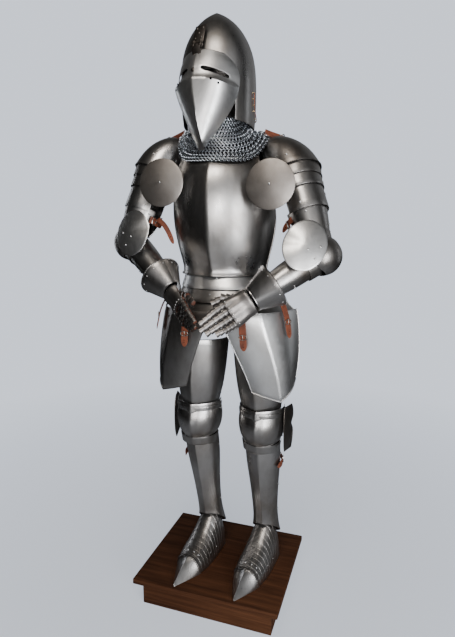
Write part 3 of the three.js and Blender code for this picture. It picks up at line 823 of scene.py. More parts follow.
# %% Rivets that the front shows, one by one
front_rivets = {
    "spaulder_cop_left": [(220, -88, 1401), (148, -48, 1388)],
    "spaulder_cop_right": [(-151, -48, 1401), (-214, -84, 1423)],
    "spaulder_lame_3_left": [(268, -113, 1263)],
    "spaulder_lame_3_right": [(-234, -110, 1260)],
    "rerebrace_left": [(285, -111, 1237)],
    "rerebrace_right": [(-226, -104, 1232)],
    "couter_wing_left": [(305, -171, 1129), (338, -153, 1135), (325, -170, 1102)],
    "couter_wing_right": [(-294, -155, 1173), (-258, -171, 1162), (-277, -173, 1135)],
    "waist_lame": [(15, -127, 1034)],
}
rivets = [rivet_on(sheets[name], spot(*place), viewer - spot(*place))
          for name, places in front_rivets.items() for place in places]


# %% Rivets that come in rows round a limb
def ring_rivets(piece, axes, places, model=rivet):
    """Rivets at angles, in degrees from the front, and heights on a limb's axes."""
    return [rivet_on(piece, *around(axes, degrees, z, 100), model) for degrees, z in places]


for name in SIDES:
    arm, leg = ARMS[name], LEGS[name]
    rows = [
        ("spaulder_cop", arm["upper"], [(235, -30), (160, -20)]),
        ("spaulder_lame_1", arm["upper"], [(205, -58), (90, -70), (-38, -66)]),
        ("spaulder_lame_2", arm["upper"], [(200, -96), (90, -106), (-32, -104)]),
        ("spaulder_lame_3", arm["upper"], [(195, -130), (90, -142)]),
        ("rerebrace", arm["upper"], [(230, -190), (230, -240), (90, -236)]),
        ("vambrace", arm["fore"], [(158, -120), (172, -120), (158, -178), (172, -178)]),
        ("poleyn_lame", leg["bend"], [(96, 66), (-96, 66)]),
        ("poleyn", leg["bend"], [(96, 38), (-96, 38), (96, -48), (-96, -48)]),
        ("cuisse", leg["thigh"], [(100, -80), (100, -200), (-100, -90), (-100, -210)]),
        ("greave", leg["shin"], [(97, -110), (97, -230), (97, -330), (-97, -110), (-97, -230), (-97, -330)]),
    ]
    for plate_name, axes, places in rows:
        rivets += ring_rivets(sheets[f"{plate_name}_{name}"], axes, places)
    rivets += ring_rivets(sheets[f"gauntlet_cuff_{name}"], arm["cuff"],
                          [(a, 62) for a in range(-150, 181, 30)], small_rivet)
for plate_name, places in (("fauld_upper", [(-84, 980), (84, 980), (0, 984)]),
                           ("fauld_lower", [(-84, 944), (84, 944)]),
                           ("waist_lame", [(-86, 1026), (86, 1026)])):
    rivets += ring_rivets(sheets[plate_name], SUIT, places)
print("rivets", len(rivets))

# %% [markdown]
# ## Helmet fittings
# The visor hangs at the brow from a bracket riveted to the skull. One leaf of the hinge belongs to the
# bracket and one to the visor, with a pin through both. Pegs stand along the skull's side and lower edge,
# and a lace through them holds the mail collar to the helmet.

# %% Brow bracket, ears and pin
HINGE_Y, HINGE_Z = -122, 213
BRACKET_Y, BRACKET_Z, BRACKET_TILT = HINGE_Y + 17, HINGE_Z + 36, -23


def shaped(piece, axes, move, bevel, **limit):
    """Moves a shape to its place on some axes and eases its edges."""
    piece.data.transform(axes @ move)
    modify(piece, "BEVEL", width=bevel / 1000, segments=2, **limit)
    return apply_modifiers(piece)


def block(name, axes, width, depth, height, centre, tilt=0, bevel=0.8):
    """A bevelled block, in millimetres, tilted about X in degrees."""
    turn = Matrix.Translation(Vector(centre) / 1000) @ Matrix.Rotation(math.radians(tilt), 4, "X")
    return shaped(add("cube", name, size=0.001), axes, turn @ Matrix.Diagonal((width, depth, height, 1)), bevel)


def pin(name, axes, radius, length, centre, sides=20, bevel=0.4):
    """A round pin along X, in millimetres."""
    rod = add("cylinder", name, vertices=sides, radius=radius / 1000, depth=length / 1000)
    turn = Matrix.Translation(Vector(centre) / 1000) @ Matrix.Rotation(math.pi / 2, 4, "Y")
    return shaped(rod, axes, turn, bevel, limit_method="ANGLE")


bracket = block("bracket", HEAD, 36, 4, 58, (0, BRACKET_Y, BRACKET_Z), BRACKET_TILT, 1.2)
ears = [pin("ear", HEAD, 6, 9, (x, HINGE_Y, HINGE_Z)) for x in (-12, 12)]
webs = [block("web", HEAD, 9, 8, 14, (x, HINGE_Y + 3, HINGE_Z + 8)) for x in (-12, 12)]
hinge_pin = pin("hinge pin", HEAD, 2.2, 38, (0, HINGE_Y, HINGE_Z), 12)
heads = [copy_onto(small_rivet, stand_on(on(HEAD, x, HINGE_Y, HINGE_Z), heading(HEAD, x, 0, 0)))
         for x in (-19, 19)]
bracket_face = HEAD.to_3x3() @ Matrix.Rotation(math.radians(BRACKET_TILT), 3, "X") @ Vector((0, -1, 0))
bracket_rivets = [
    rivet_on(bracket, on(HEAD, x, BRACKET_Y + up * 0.39, BRACKET_Z + up * 0.92), bracket_face)
    for x, up in ((-10, 19), (10, 19), (0, 2), (-10, -14), (10, -14))]
brow = join("brow_bracket", [bracket, *ears, *webs, hinge_pin, *heads, *bracket_rivets])
finish(brow, dark_steel, replaced=["brow_hinge"])

# %% The visor's leaf, its breaths and its boss
leaf = block("leaf", HEAD, 28, 3.5, 34, (0, HINGE_Y - 3, HINGE_Z - 19), 14, 1)
knuckle = pin("knuckle", HEAD, 6, 12, (0, HINGE_Y, HINGE_Z))
leaf_rivets = [rivet_on(leaf, on(HEAD, x, HINGE_Y - 6, HINGE_Z - 24), heading(HEAD, 0, -1, 0.2),
                        small_rivet) for x in (-8, 8)]
boss = rivet_on(visor, on(HEAD, 0, -150, 141), heading(HEAD, 0, -1, 0))
BOSS_FOOT, BOSS_SIZE = on(HEAD, 0, -148, 141), 1.9
boss.data.transform(Matrix.Translation(BOSS_FOOT) @ Matrix.Scale(BOSS_SIZE, 4) @ Matrix.Translation(-BOSS_FOOT))
finish(join("visor_leaf", [leaf, knuckle, *leaf_rivets, boss]), dark_steel, body="visor")
finish(visor, bright_steel, body="visor", replaced=["visor"])
# Each breath is a dark disc on the visor: painted shade for an opening that is not cut through.
breaths = []
hole = rivet_model(0.0036, 0.0006)
for x in (-82, -60, 60, 82):
    point = on(HEAD, x, -160, 124 - x * x / 420)
    place, normal = meet(visor, point, heading(HEAD, x / 300, -1, 0.3))
    breaths.append(copy_onto(hole, stand_on(place, normal)))
discard(hole)
finish(join("visor_breaths", breaths), hole_shade_finish, body="visor")

# %% Pegs and the collar lace
peg_model = pin("peg model", Matrix.Rotation(-math.pi / 2, 4, "Y"), 1.8, 7, (0, 0, 2.5), 10, 0.5)
skull = sheets["bascinet_skull"]
LACE_LIFT, LACE_RADIUS = 0.0042, 0.0013
peg_places = [(96, 96), (96, 78), (97, 60), (100, 44)] + [(112 + 17 * n, 26) for n in range(9)]
peg_places += [(264, 44), (263, 60), (264, 78), (264, 96)]
pegs, lace_points = [], []
for degrees, z in peg_places:
    place, normal = meet(skull, *around(HEAD, degrees, z, 140))
    pegs.append(copy_onto(peg_model, stand_on(place, normal)))
    lace_points.append(place + normal * LACE_LIFT)
discard(peg_model)
finish(join("collar_pegs", pegs), brass)
finish(wire_along(lace_points, LACE_RADIUS, "collar_lace"), leather)
print("pegs", len(peg_places))

# %% [markdown]
# ## The mail collar
# Mail is rows of rings, and each ring passes through two in the row above and two in the row below. So the
# rings of one row all lean one way and those of the next row lean the other way. One ring, a torus of few
# faces, is copied along rows that start at the hem and go up until they're under the helmet. A dark sheet
# just inside them stands for the shadow between the rings.

# %% The collar's surface
COLLAR_ROWS = [  # half width, reach to front and back, x, height, rise at the shoulders, its span, rise behind
    (148, 150, 128, 3, 1385, 86, 30, 18), (138, 122, 122, 2, 1409, 74, 34, 16),
    (122, 112, 110, -5, 1445, 42, 40, 14), (100, 97, 103, -16, 1474, 17, 40, 10),
    (97, 91, 103, -18, 1520, 4, 40, 0),
]
RINGS_ROUND, SHOULDER_TILT = 76, math.tan(math.radians(3))


def collar_row(wide, deep, back, x, low, rise, span, rear):
    """A row round the collar. It is low in front and rises over each shoulder and a little behind."""
    row = []
    for i in range(2 * RINGS_ROUND + 1):
        degrees = -180 + 180 * i / RINGS_ROUND
        sine, cosine = sin_cos(degrees)
        over_shoulder = math.exp(-((abs(degrees) - 91) / span) ** 2)
        z = low + rise * over_shoulder + rear * max(0, -cosine) - wide * sine * SHOULDER_TILT
        row.append(spot(x + wide * sine, -(deep if cosine > 0 else back) * cosine, z))
    return row


collar_rows = [collar_row(*row) for row in COLLAR_ROWS]


def collar_line(column):
    """A smooth line up the collar, as points about a millimetre apart."""
    knots = [row[column % (2 * RINGS_ROUND)] for row in collar_rows]
    knots = [knots[0] * 2 - knots[1], *knots, knots[-1] * 2 - knots[-2]]
    line = []
    for a, b, c, d in zip(knots, knots[1:], knots[2:], knots[3:]):
        steps = max(2, int((c - b).length * 1000))
        for n in range(steps):
            t = n / steps
            line.append(0.5 * (2 * b + (c - a) * t + (2 * a - 5 * b + 4 * c - d) * t * t
                               + (3 * b - a - 3 * c + d) * t ** 3))
    return line


lines = [collar_line(column) for column in range(2 * RINGS_ROUND)]

# %% The rings
RING_RADIUS, RING_WIRE, ROW_PITCH, LEAN = 0.0066, 0.0009, 0.0084, math.radians(40)
HEM_GAP, RING_LIFT = 0.0025, 0.0018
ring = add("torus", "ring", major_segments=9, minor_segments=4, major_radius=RING_RADIUS,
           minor_radius=RING_WIRE)
ring_corners = [v.co.copy() for v in ring.data.vertices]
ring_faces = [tuple(p.vertices) for p in ring.data.polygons]
discard(ring)


def rings_along(name):
    """All rings of the collar, as one piece."""
    corners, faces = [], []
    for column in range(len(lines)):
        line, before, after = lines[column], lines[column - 1], lines[(column + 1) % len(lines)]
        walked, row, wanted = 0.0, 0, HEM_GAP
        for n in range(1, len(line) - 1):
            walked += (line[n] - line[n - 1]).length
            if walked < wanted:
                continue
            wanted += ROW_PITCH
            row += 1
            if row % 2 != column % 2:
                continue
            up = (line[n + 1] - line[n - 1]).normalized()
            m = min(n, len(before) - 1, len(after) - 1)
            across = (after[m] - before[m]).normalized()
            out = across.cross(up).normalized()
            lean = LEAN if row % 2 else -LEAN
            across = up.cross(out)
            tipped = Matrix((across * math.cos(lean) - out * math.sin(lean), up,
                             across * math.sin(lean) + out * math.cos(lean))).transposed()
            centre = line[n] + out * RING_LIFT
            base = len(corners)
            corners += [centre + tipped @ corner for corner in ring_corners]
            faces += [tuple(base + k for k in face) for face in ring_faces]
    mesh = bpy.data.meshes.new(name)
    mesh.from_pydata(corners, [], faces)
    print(name, len(faces) // len(ring_faces), "rings")
    return placed(name, mesh)


finish(rings_along("collar_rings"), ring_steel, smooth=80)
shadow = grid_plate("collar_shadow", [row[::4] for row in collar_rows])
only(shadow)
with editing():
    bpy.ops.mesh.remove_doubles(threshold=0.0001)
round_off(shadow)
modify(shadow, "DISPLACE", strength=-0.0022, mid_level=0)
apply_modifiers(shadow)
thicken(shadow, thick=0.001, bevel=0)
finish(shadow, mail_shadow, replaced=["camail"])

# %% [markdown]
# ## Shoulder discs
# A disc hangs in front of each armpit. It's a plain dished plate with a filed edge and one rivet in the
# middle, where its lace goes through to the shoulder. A circle is filled, inset a few times, and each ring
# of the inset is drawn forward to dish it.

# %% Besagews
BESAGEWS = {"left": (189, -160, 1311), "right": (-150, -168, 1324)}
DISC_RADIUS, DISC_TURN = 0.073, Vector((0, -1, 0.07))


def dished_disc(name, axes, radius, rings):
    """A disc of rings, each given as its share of the radius and how much further it is raised, in metres."""
    disc = add("circle", name, vertices=32, radius=radius, fill_type="NGON")
    at_share = 1.0
    with editing():
        for share, height in rings:
            bpy.ops.mesh.inset(thickness=radius * (at_share - share), depth=0)
            bpy.ops.transform.translate(value=(0, 0, height))
            at_share = share
        bpy.ops.mesh.poke()
    disc.data.transform(axes)
    return disc


for name, middle in BESAGEWS.items():
    axes = stand_on(spot(*middle), DISC_TURN) @ Matrix.Translation((0, 0, -0.002))
    disc = dished_disc(f"besagew_{name}_disc", axes, DISC_RADIUS,
                       [(0.955, 0.0012), (0.76, 0.0034), (0.42, 0.0042), (0.12, 0.0022)])
    round_off(disc, 1)
    thicken(disc, thick=0.002, bevel=0.0006)
    finish(disc, worn_steel, replaced=[f"besagew_{name}"])
    rivets.append(rivet_on(disc, spot(*middle), DISC_TURN))

# %% [markdown]
# ## Elbow and knee lames
# Between the cup of a joint and the plates beside it run narrow lames. They slide over one another when the
# limb bends, and their edges draw fine lines across the joint. Each is an arc a little wider than the one
# it covers.

# %% Lames at the elbows and knees
for name in SIDES:
    up, down, bend = ARMS[name]["point_up"], ARMS[name]["point_down"], LEGS[name]["bend"]
    lames = [  # axes, rows, the turn at which they end, the keel's height, columns, and rivets
        ("elbow_lame_upper", up, [(-64, 51.5, 51.5), (-34, 49, 50)], 112, 0, 10,
         [(-98, -50), (98, -50), (-20, -56), (20, -56)]),
        ("elbow_lame_lower", down, [(-66, 49.5, 50), (-30, 51, 52)], 112, 0, 10, [(-98, -50), (98, -50)]),
        ("knee_lame_upper", bend, [(46, 79, 81), (60, 80, 81)], 107, 4, 14, [(-98, 52), (98, 52)]),
        ("knee_lame_lower", bend, [(-84, 64.5, 63), (-54, 68.5, 69.5)], 107, 4, 14, []),
    ]
    for which, axes, rows, turn, keel, columns, places in lames:
        piece = finish(lame(f"{which}_{name}", axes, rows, turn, keel, columns), steel)
        rivets += ring_rivets(piece, axes, places, small_rivet)
print("rivets", len(rivets))

# %% [markdown]
# ## Gauntlets
# The hand plate is fluted over the bones of the hand. Each finger has a row of small scales riveted to a
# leather strip, and the leather glove shows between them. The glove is a copy of its solid, remeshed and
# relaxed so that it looks sewn and soft. One scale is made from an open tube, and copied down each finger.

# %% Gloves
for name in SIDES:
    glove = wall_copy(f"gauntlet_fingers_{name}", f"glove_{name}")
    modify(glove, "REMESH", mode="VOXEL", voxel_size=0.0022)
    modify(glove, "SMOOTH", factor=0.6, iterations=6)
    apply_modifiers(glove)
    finish(glove, glove_leather, replaced=[f"gauntlet_fingers_{name}"], smooth=80)
    print("glove", name, len(glove.data.polygons), "faces")

# %% Hand plates with flutes
FLUTE_PITCH, FLUTE_DEPTH, FLUTE_START, FLUTE_HALF = 22, 0.0022, -24, 50
FLARE, FLARE_REACH = 0.3, 34  # how much wider the plate gets at the wrist, and how far down that starts
KNUCKLES = -0.45  # how far down the hand, as a share of its length
for name in SIDES:
    axes = ARMS[name]["hand"]
    back, knuckles = axes.inverted(), KNUCKLES * ARMS[name]["reach"]
    hand = outer_face(f"gauntlet_hand_{name}", f"hand_plate_{name}")
    round_off(hand)
    outward = heading(axes, 0, -1, 0).normalized()
    for vertex in hand.data.vertices:
        local = (back @ vertex.co) * 1000
        near = min(1, max(0, (local.z - FLUTE_START) / (knuckles - FLUTE_START)))
        middle = max(0, 1 - (abs(local.x) / FLUTE_HALF) ** 4)
        flare = FLARE * max(0, min(1, (local.z + FLARE_REACH) / FLARE_REACH))
        vertex.co += heading(axes, local.x * flare, local.y * flare - 6 * flare, 8 * flare) / 1000
        wave = 0.5 - 0.5 * math.cos(2 * math.pi * (local.x + 1) / FLUTE_PITCH + math.pi)
        vertex.co -= outward * FLUTE_DEPTH * wave * near * middle
    thicken(hand, thick=0.0015)
    sheets[f"gauntlet_hand_{name}"] = finish(hand, hand_steel, replaced=[f"gauntlet_hand_{name}"])


# %% One finger scale
def finger_scale():
    """A scale over a finger of 10 mm radius that runs 18 mm down -Z and faces -Y."""
    rows = []
    for z, radius in ((-18, 13.9), (-15, 13.6), (-7, 11.0), (0, 9.2)):
        turns = [math.radians(-100 + 25 * n) for n in range(9)]
        rows.append([Vector((radius * math.sin(t), -radius * math.cos(t), z)) / 1000 for t in turns])
    scale = grid_plate("finger scale", rows)
    round_off(scale, 1)
    return thicken(scale, thick=0.0011, bevel=0.0003)


scale_model = finger_scale()


def scales_along(points, widths, count):
    """Scales laid one over the next along a line, facing -Y of the hand they're on."""
    made = []
    lengths = [(b - a).length for a, b in zip(points, points[1:])]
    pitch = sum(lengths) / count
    for n in range(count - 1, -1, -1):
        walked, leg_no = n * pitch, 0
        while leg_no < len(lengths) - 1 and walked > lengths[leg_no]:
            walked -= lengths[leg_no]
            leg_no += 1
        a, b = points[leg_no], points[leg_no + 1]
        place = a + (b - a) * (walked / lengths[leg_no])
        share = n / max(1, count - 1)
        wide = widths[0] + (widths[1] - widths[0]) * share
        size = Matrix.Diagonal((wide, wide, pitch / 15.0, 1))
        axes = Matrix.Translation(place / 1000) @ axes_near((a - b).normalized(), Vector((0, 1, 0)))
        made.append(axes @ size)
    return made


# %% Scales on every finger
FINGER_REACH, THUMB = (0.94, 1.0, 0.95, 0.82), [(-24, 5, -38), (-50, 13, -70), (-56, 16, -106)]
for name in SIDES:
    arm = ARMS[name]
    axes, reach = arm["hand"], arm["reach"]
    knuckles = KNUCKLES * reach
    scales = []
    for n, share in enumerate(FINGER_REACH):
        x, tip = -34 + 22 * n, -share * reach
        points = [Vector((x, -2, knuckles + 8)), Vector((x * 0.96, -2, knuckles - 30)),
                  Vector((x * 0.8, 3, tip + 4))]
        places = scales_along(points, (1.0, 0.8), 6)
        scales += [copy_onto(scale_model, axes @ place) for place in places]
        knuckle_row = [(x - 5, knuckles + 7), (x + 5, knuckles + 7)]
        rivets += [rivet_on(sheets[f"gauntlet_hand_{name}"], on(axes, px, -30, pz),
                            heading(axes, 0, -1, 0), small_rivet) for px, pz in knuckle_row]
    thumb_points = [Vector(p) for p in THUMB]
    scales += [copy_onto(scale_model, axes @ place) for place in scales_along(thumb_points, (1.22, 0.92), 5)]
    finish(join(f"finger_scales_{name}", scales), hand_steel)
discard(scale_model)
print("finger scales done")

# %% [markdown]
# ## Feet
# A foot is a row of lames from the ankle to the toe, each lapping the one in front, and a long toe cap that
# comes to a point with a ridge along its top. The sections across the foot are written once, in
# millimetres, and the lames, the heel and the toe are all drawn from them.

# %% Sections across the foot
FOOT_SECTIONS = [(26, 46, 124), (4, 50, 158), (-22, 52, 151), (-52, 54, 119), (-86, 56, 92), (-122, 56, 73),
                 (-156, 50, 60), (-186, 40, 49), (-214, 27, 36), (-240, 14, 22), (-262, 2.5, 8)]
FOOT_COLUMNS = 12


def foot_section(y):
    """Half width and height of the foot at a distance along it."""
    for (y0, half0, top0), (y1, half1, top1) in zip(FOOT_SECTIONS, FOOT_SECTIONS[1:]):
        if y <= y0 and y >= y1:
            t = (y0 - y) / (y0 - y1)
            return half0 + (half1 - half0) * t, top0 + (top1 - top0) * t
    return FOOT_SECTIONS[-1][1:] if y < 0 else FOOT_SECTIONS[0][1:]


def foot_row(axes, y, grow, low=0.0, roof=0.0):
    """Points over the foot from its right side to its left. roof turns the arch into a gable."""
    half, top = foot_section(y)
    row = []
    for i in range(FOOT_COLUMNS + 1):
        turn = math.pi * (low + (1 - 2 * low) * i / FOOT_COLUMNS)
        cosine = math.cos(turn)
        arch = math.sin(turn) ** 0.9
        gable = 1 - abs(cosine) ** 1.15
        x = -math.copysign(abs(cosine) ** 0.8, cosine) * (half + grow)
        x = x * (1 - roof) - cosine * (half + grow) * roof
        height = 0.6 + (top + grow - 0.6) * (arch * (1 - roof) + gable * roof)
        row.append(on(axes, x, y, height))
    return row


# %% Shape the feet
LAME_EDGES = [(14, -14), (2, -30), (-14, -46), (-36, -62), (-52, -78), (-68, -94), (-84, -110), (-100, -126),
              (-116, -142), (-132, -158), (-148, -172)]
LAME_FOOT = 0.03  # how far above the sole a lame ends, as a share of the way round
BASE_ROWS = [-172, -156, -139, -122, -104, -86, -69, -52, -37, -22, -9, 4, 15, 26]
TOE_ROWS = [(-262, 0, 1), (-240, 0, 1), (-214, 0, 0.95), (-186, 0.8, 0.7), (-170, 1.6, 0.3), (-163, 1.8, 0.15)]
for name in SIDES:
    axes = LEGS[name]["foot"]
    base = grid_plate(f"foot_plate_{name}", [foot_row(axes, y, -1.6) for y in BASE_ROWS])
    round_off(base, 1)
    thicken(base, thick=0.0015)
    parts = [base]
    for rear, front in LAME_EDGES:
        places = (front, 1.9), (front + 3, 1.9), ((front + rear) / 2, 1.2), (rear, 0.5)
        strip = grid_plate("foot lame", [foot_row(axes, y, grow, LAME_FOOT) for y, grow in places])
        round_off(strip, 1)
        parts.append(thicken(strip, thick=0.0014, bevel=0.0004))
    toe = grid_plate("toe cap", [foot_row(axes, y, grow, roof=roof) for y, grow, roof in TOE_ROWS])
    crease(toe, lambda a, b, fold: all(abs((axes.inverted() @ p).x) < 0.001 for p in (a, b)), 0.95)
    round_off(toe)
    parts.append(thicken(toe, thick=0.0015, bevel=0.0004))
    foot = join(f"foot_plate_{name}", parts)
    finish(foot, steel, replaced=[f"sabaton_{name}"])
    finish(wire_along(foot_row(axes, -168, 3.6, 0.16), 0.0015, f"toe_lace_{name}"), black_lace)
    rivets += [rivet_on(foot, on(axes, x, -148, 80), Vector((0, 0, 1))) for x in (-30, -12, 12, 30)]
    for x, y in ((-44, -60), (44, -60), (-46, -100), (46, -100)):
        outward = heading(axes, x / 44, 0, 0.35)
        rivets.append(rivet_on(foot, on(axes, x, y, 40), outward, small_rivet))
print("feet done")

# %% [markdown]
# ## Straps and buckles
# Every strap is a ribbon of harness leather, nearly three millimetres thick, with its end cut to a point.
# It's laid along a line of points on the plates, rounded a little, and given its thickness outwards. A
# buckle is a bent wire ring with a pin across it, and the free end of the strap hangs through it.

# %% A strap along a line
HALF_STRAP, POINT, BUCKLE_LIFT = 0.011, 0.009, 0.0042


def strap_along(name, points, across, outward, thick=0.0028):
    """A ribbon along points, in metres. across is its half width and outward the side the world sees."""
    tip = points[0] + (points[0] - points[1]).normalized() * POINT
    left = [tip - across * 0.25, *(p - across for p in points)]
    right = [tip + across * 0.25, *(p + across for p in points)]
    middle = [(a + b) / 2 for a, b in zip(left, right)]
    facing = (points[1] - points[0]).cross(across)
    rows = [left, middle, right] if facing.dot(outward) > 0 else [right, middle, left]
    ribbon = grid_plate(name, rows)
    round_off(ribbon, 2)
    return thicken(ribbon, thick, bevel=0.0007, offset=1)


# %% One buckle
def buckle_model():
    """A ring buckle with its pin, lying flat and facing +Z, its strap along Y."""
    ring = add("torus", "ring", major_segments=20, minor_segments=8, major_radius=0.0105, minor_radius=0.0015)
    with editing():
        bpy.ops.transform.resize(value=(1.2, 0.75, 1))
    tongue = pin("tongue", Matrix.Rotation(math.pi / 2, 4, "Z"), 1.1, 17, (0, 0, 1.2), 10, 0.4)
    return join("buckle model", [ring, tongue])


buckle = buckle_model()
# Strap holes are dark discs too: painted shade standing for the punched holes.
hole_model = rivet_model(0.0014, 0.0003)
buckles, holes = [], []


def buckle_on(place, outward, along):
    buckles.append(copy_onto(buckle, stand_on(place + outward.normalized() * BUCKLE_LIFT, outward, along)))


def holes_on(piece, points, outward):
    for point in points:
        place, normal = meet(piece, point, outward)
        holes.append(copy_onto(hole_model, stand_on(place + normal * 0.0001, normal)))


# %% Straps of the tassets
for name, side in SIDES.items():
    axes = Matrix.Translation(spot(HIPS_X, 0, 0)) @ Matrix.Diagonal((side, 1, 1, 1))
    inner = [(97, -184, 830), (96, -184.5, 850), (94, -184.5, 880), (92, -184, 914)]
    outer = [(222, -119, 866), (217, -116, 892), (211, -113, 925), (196, -105, 958)]
    plans = [("inner", inner, (11, 0, 0), (0, -1, 0)), ("outer", outer, (5.5, 9.5, 0), (0.87, -0.5, 0))]
    for which, line, across, outward in plans:
        points = [on(axes, *p) for p in line]
        turn = axes.to_3x3()
        outward = turn @ Vector(outward)
        strap = strap_along(f"tasset_strap_{which}_{name}_leather", points,
                            turn @ (Vector(across) / 1000), outward)
        finish(strap, leather, replaced=[f"tasset_strap_{which}_{name}"])
        along = (points[0] - points[-1]).normalized()
        middle = points[1].lerp(points[2], 0.45)
        buckle_on(middle, outward, along)
        holes_on(strap, [points[0] + along * d for d in (-0.004, -0.012)], outward)

# %% Straps of the arms, legs and shoulders
def limb_strap(node, axes, z, wide, front, back, turns, share):
    """A strap round a limb, through turns in degrees from its front.

    share says how far from the third to the fourth of them the buckle is.
    """
    line = []
    for degrees in turns:
        sine, cosine = sin_cos(degrees)
        line.append(on(axes, wide * sine, -(front if degrees < 90 else back) * cosine, z))
    outward = line[2] - on(axes, 0, 0, z)
    strap = strap_along(f"{node}_leather", line, heading(axes, 0, 0, HALF_STRAP), outward)
    finish(strap, leather, replaced=[node])
    buckle_on(line[2].lerp(line[3], share), outward, line[0] - line[-1])


for name, side in SIDES.items():
    limb_strap(f"arm_strap_{name}", ARMS[name]["upper"], -205, 67, 68, 68, (-100, -84, -66, -48), 0.3)
    limb_strap(f"greave_strap_{name}", LEGS[name]["shin"], -140, 66, 64, 76, (68, 85, 102, 119, 136), 0.4)
    x, _, z = ARMS[name]["shoulder"]
    line = [spot(x - side * dx, -12, z + dz) for dx, dz in ((-4, 50), (18, 62), (42, 72), (64, 80), (84, 89))]
    tilted, facing = Vector((0, 0.64, 0.77)) * HALF_STRAP, Vector((0, -0.77, 0.64))
    strap = strap_along(f"shoulder_strap_{name}_leather", line, tilted, facing)
    finish(strap, leather, replaced=[f"shoulder_strap_{name}"])
    buckle_on(line[1].lerp(line[2], 0.5), facing, line[0] - line[3])

# %% A small buckle by the left cuff
arm = ARMS["left"]
elbow, wrist = arm["fore"].translation, arm["cuff"].translation
DOWN_ARM, SUNK = 0.74, 0.0035
place, normal = meet(sheets["vambrace_left"], elbow.lerp(wrist, DOWN_ARM), viewer - wrist)
buckle_on(place - normal * SUNK, normal, wrist - elbow)

# %% Free ends that hang
tails = {
    "arm_tail_right": ([(-197, -100, 1216), (-178, -102, 1205), (-161, -100, 1180), (-147, -98, 1146)],
                       (0, -1, 0.2)),
    "arm_tail_left": ([(259, -97, 1227), (243, -94, 1214), (228, -90, 1200), (217, -86, 1182)], (0, -1, 0.2)),
}
for name, (line, outward) in tails.items():
    points = [spot(*p) for p in line][::-1]
    sideways = (points[0] - points[-1]).cross(Vector(outward)).normalized() * 0.008
    strap = strap_along(name, points, sideways, Vector(outward), thick=0.0024)
    finish(strap, leather)
    holes_on(strap, [points[0].lerp(points[1], t) for t in (0.1, 0.4)], Vector(outward))
discard(buckle, hole_model)
finish(join("buckles", buckles), buckle_steel)
finish(join("strap_holes", holes), hole_shade_finish)
finish(join("rivets", rivets), bright_steel)
discard(rivet, small_rivet)
print("buckles", len(buckles))

# %% [markdown]
# ## The stand
# The top board is planed with eased edges and lies on a box whose sides are set back, so that it throws a
# thin shadow. A bevel on copies of the two solids is all that the shape needs; the stain does the rest.

# %% Board and plinth
for node in ("stand_board", "stand_plinth"):
    timber = wall_copy(node, node + "_timber")
    with editing():
        bpy.ops.mesh.dissolve_limited(angle_limit=math.radians(1))
    modify(timber, "BEVEL", width=0.0022, segments=3)
    finish(apply_modifiers(timber), wood, replaced=[node])

# %% [markdown]
# ## Floor and light
# Polished metal shows what is around it, so the surroundings are drawn as carefully as the metal. The viewer
# sees a pale floor that fades into a pale backdrop. The metal sees a darker floor, a broad soft light in
# front to the suit's left and a weak one behind, so that every plate turns from bright to nearly black as
# it goes round. Panels give the sharper highlights.

# %% Floor
PALE = (0.99, 1.07, 1.22, 1)
FLOOR_GLOW, FLOOR_GLOW_IN_METAL = 0.58, 0.02
FADE_START, FADE_END = 0.5, 2.6
floor = add("plane", "floor", size=40, location=(0, 0, -0.0005))
floor_paint, tree, shader = new_material("pale_floor")
seen = add_node(tree, "LightPath").outputs["Is Camera Ray"]
glow = add_node(tree, "Math", {0: seen, 1: FLOOR_GLOW - FLOOR_GLOW_IN_METAL, 2: FLOOR_GLOW_IN_METAL},
                operation="MULTIPLY_ADD")
fill_in(tree, shader, {"Base Color": (0.3, 0.315, 0.34, 1), "Roughness": 0.85, "Emission Color": PALE,
                       "Emission Strength": glow.outputs["Value"]})
distance = add_node(tree, "VectorMath", {0: object_place(tree)}, operation="LENGTH").outputs["Value"]
haze = add_node(tree, "Emission", {"Color": PALE, "Strength": seen})
both = add_node(tree, "MixShader", {"Fac": spread(tree, distance, 0, 1, FADE_START, FADE_END),
                                    1: shader.outputs["BSDF"], 2: haze.outputs["Emission"]})
fill_in(tree, tree.nodes["Material Output"], {"Surface": both.outputs["Shader"]})
floor.data.materials.append(floor_paint)


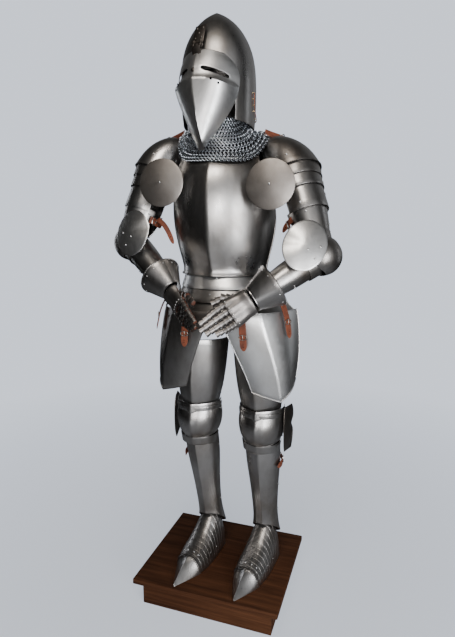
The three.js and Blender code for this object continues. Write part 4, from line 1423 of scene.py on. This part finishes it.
# %% Panels of light
def panel(name, place, target, width, height, power, colour):
    """A soft panel that faces a target and doesn't show itself."""
    data = bpy.data.lights.new(name, "AREA")
    data.shape = "RECTANGLE"
    data.size, data.size_y = width, height
    data.energy = power
    data.color = colour
    lamp = placed(name, data)
    lamp.location = place
    lamp.rotation_euler = (Vector(target) - Vector(place)).to_track_quat("-Z", "Y").to_euler()
    lamp.visible_camera = False


CHEST = (0, 0, 1.2)
panel("front_panel", (0.95, -2.9, 1.22), CHEST, 0.8, 1.35, 33, (1, 0.98, 0.97))
panel("right_panel", (2.2, -2.1, 0.9), CHEST, 0.8, 1.6, 68, (0.96, 0.98, 1))
panel("top_panel", (0.1, -1.5, 3.0), CHEST, 0.8, 0.8, 23, (1, 0.93, 0.84))
panel("low_panel", (0.0, -1.6, 0.06), (0, -0.1, 0.9), 0.8, 0.4, 2, (0.94, 0.97, 1))
panel("side_panel", (2.6, 1.4, 1.5), CHEST, 0.5, 2.2, 3, (0.92, 0.96, 1))
panel("left_panel", (-2.8, 1.2, 1.5), CHEST, 0.3, 2.0, 6, (0.9, 0.94, 1))

# %% Surroundings
LOBES = [  # the way towards a soft light, where it starts and is full as a cosine, and its two strengths
    ((0.5, -0.84, 0.18), 0.55, 0.97, 0.02, 0.55),
    ((0.1, 0.98, 0.1), 0.3, 1, 0, 0.25),
]
world = bpy.data.worlds.new("studio")
bpy.context.scene.world = world
world.use_nodes = True
sky = world.node_tree
way = add_node(sky, "TexCoord").outputs["Generated"]
strengths = []
for towards, start, end, low, high in LOBES:
    facing = add_node(sky, "VectorMath", {0: way, 1: towards}, operation="DOT_PRODUCT")
    strengths.append(spread(sky, facing.outputs["Value"], low, high, start, end))
total = add_node(sky, "Math", {0: strengths[0], 1: strengths[1]}).outputs["Value"]
room = add_node(sky, "Background", {"Color": (0.96, 0.98, 1, 1), "Strength": total})
backdrop = fill_in(sky, sky.nodes["Background"], {"Color": PALE})
switch = add_node(sky, "MixShader", {"Fac": add_node(sky, "LightPath").outputs["Is Camera Ray"],
                                     1: room.outputs["Background"], 2: backdrop.outputs["Background"]})
fill_in(sky, sky.nodes["World Output"], {"Surface": switch.outputs["Shader"]})
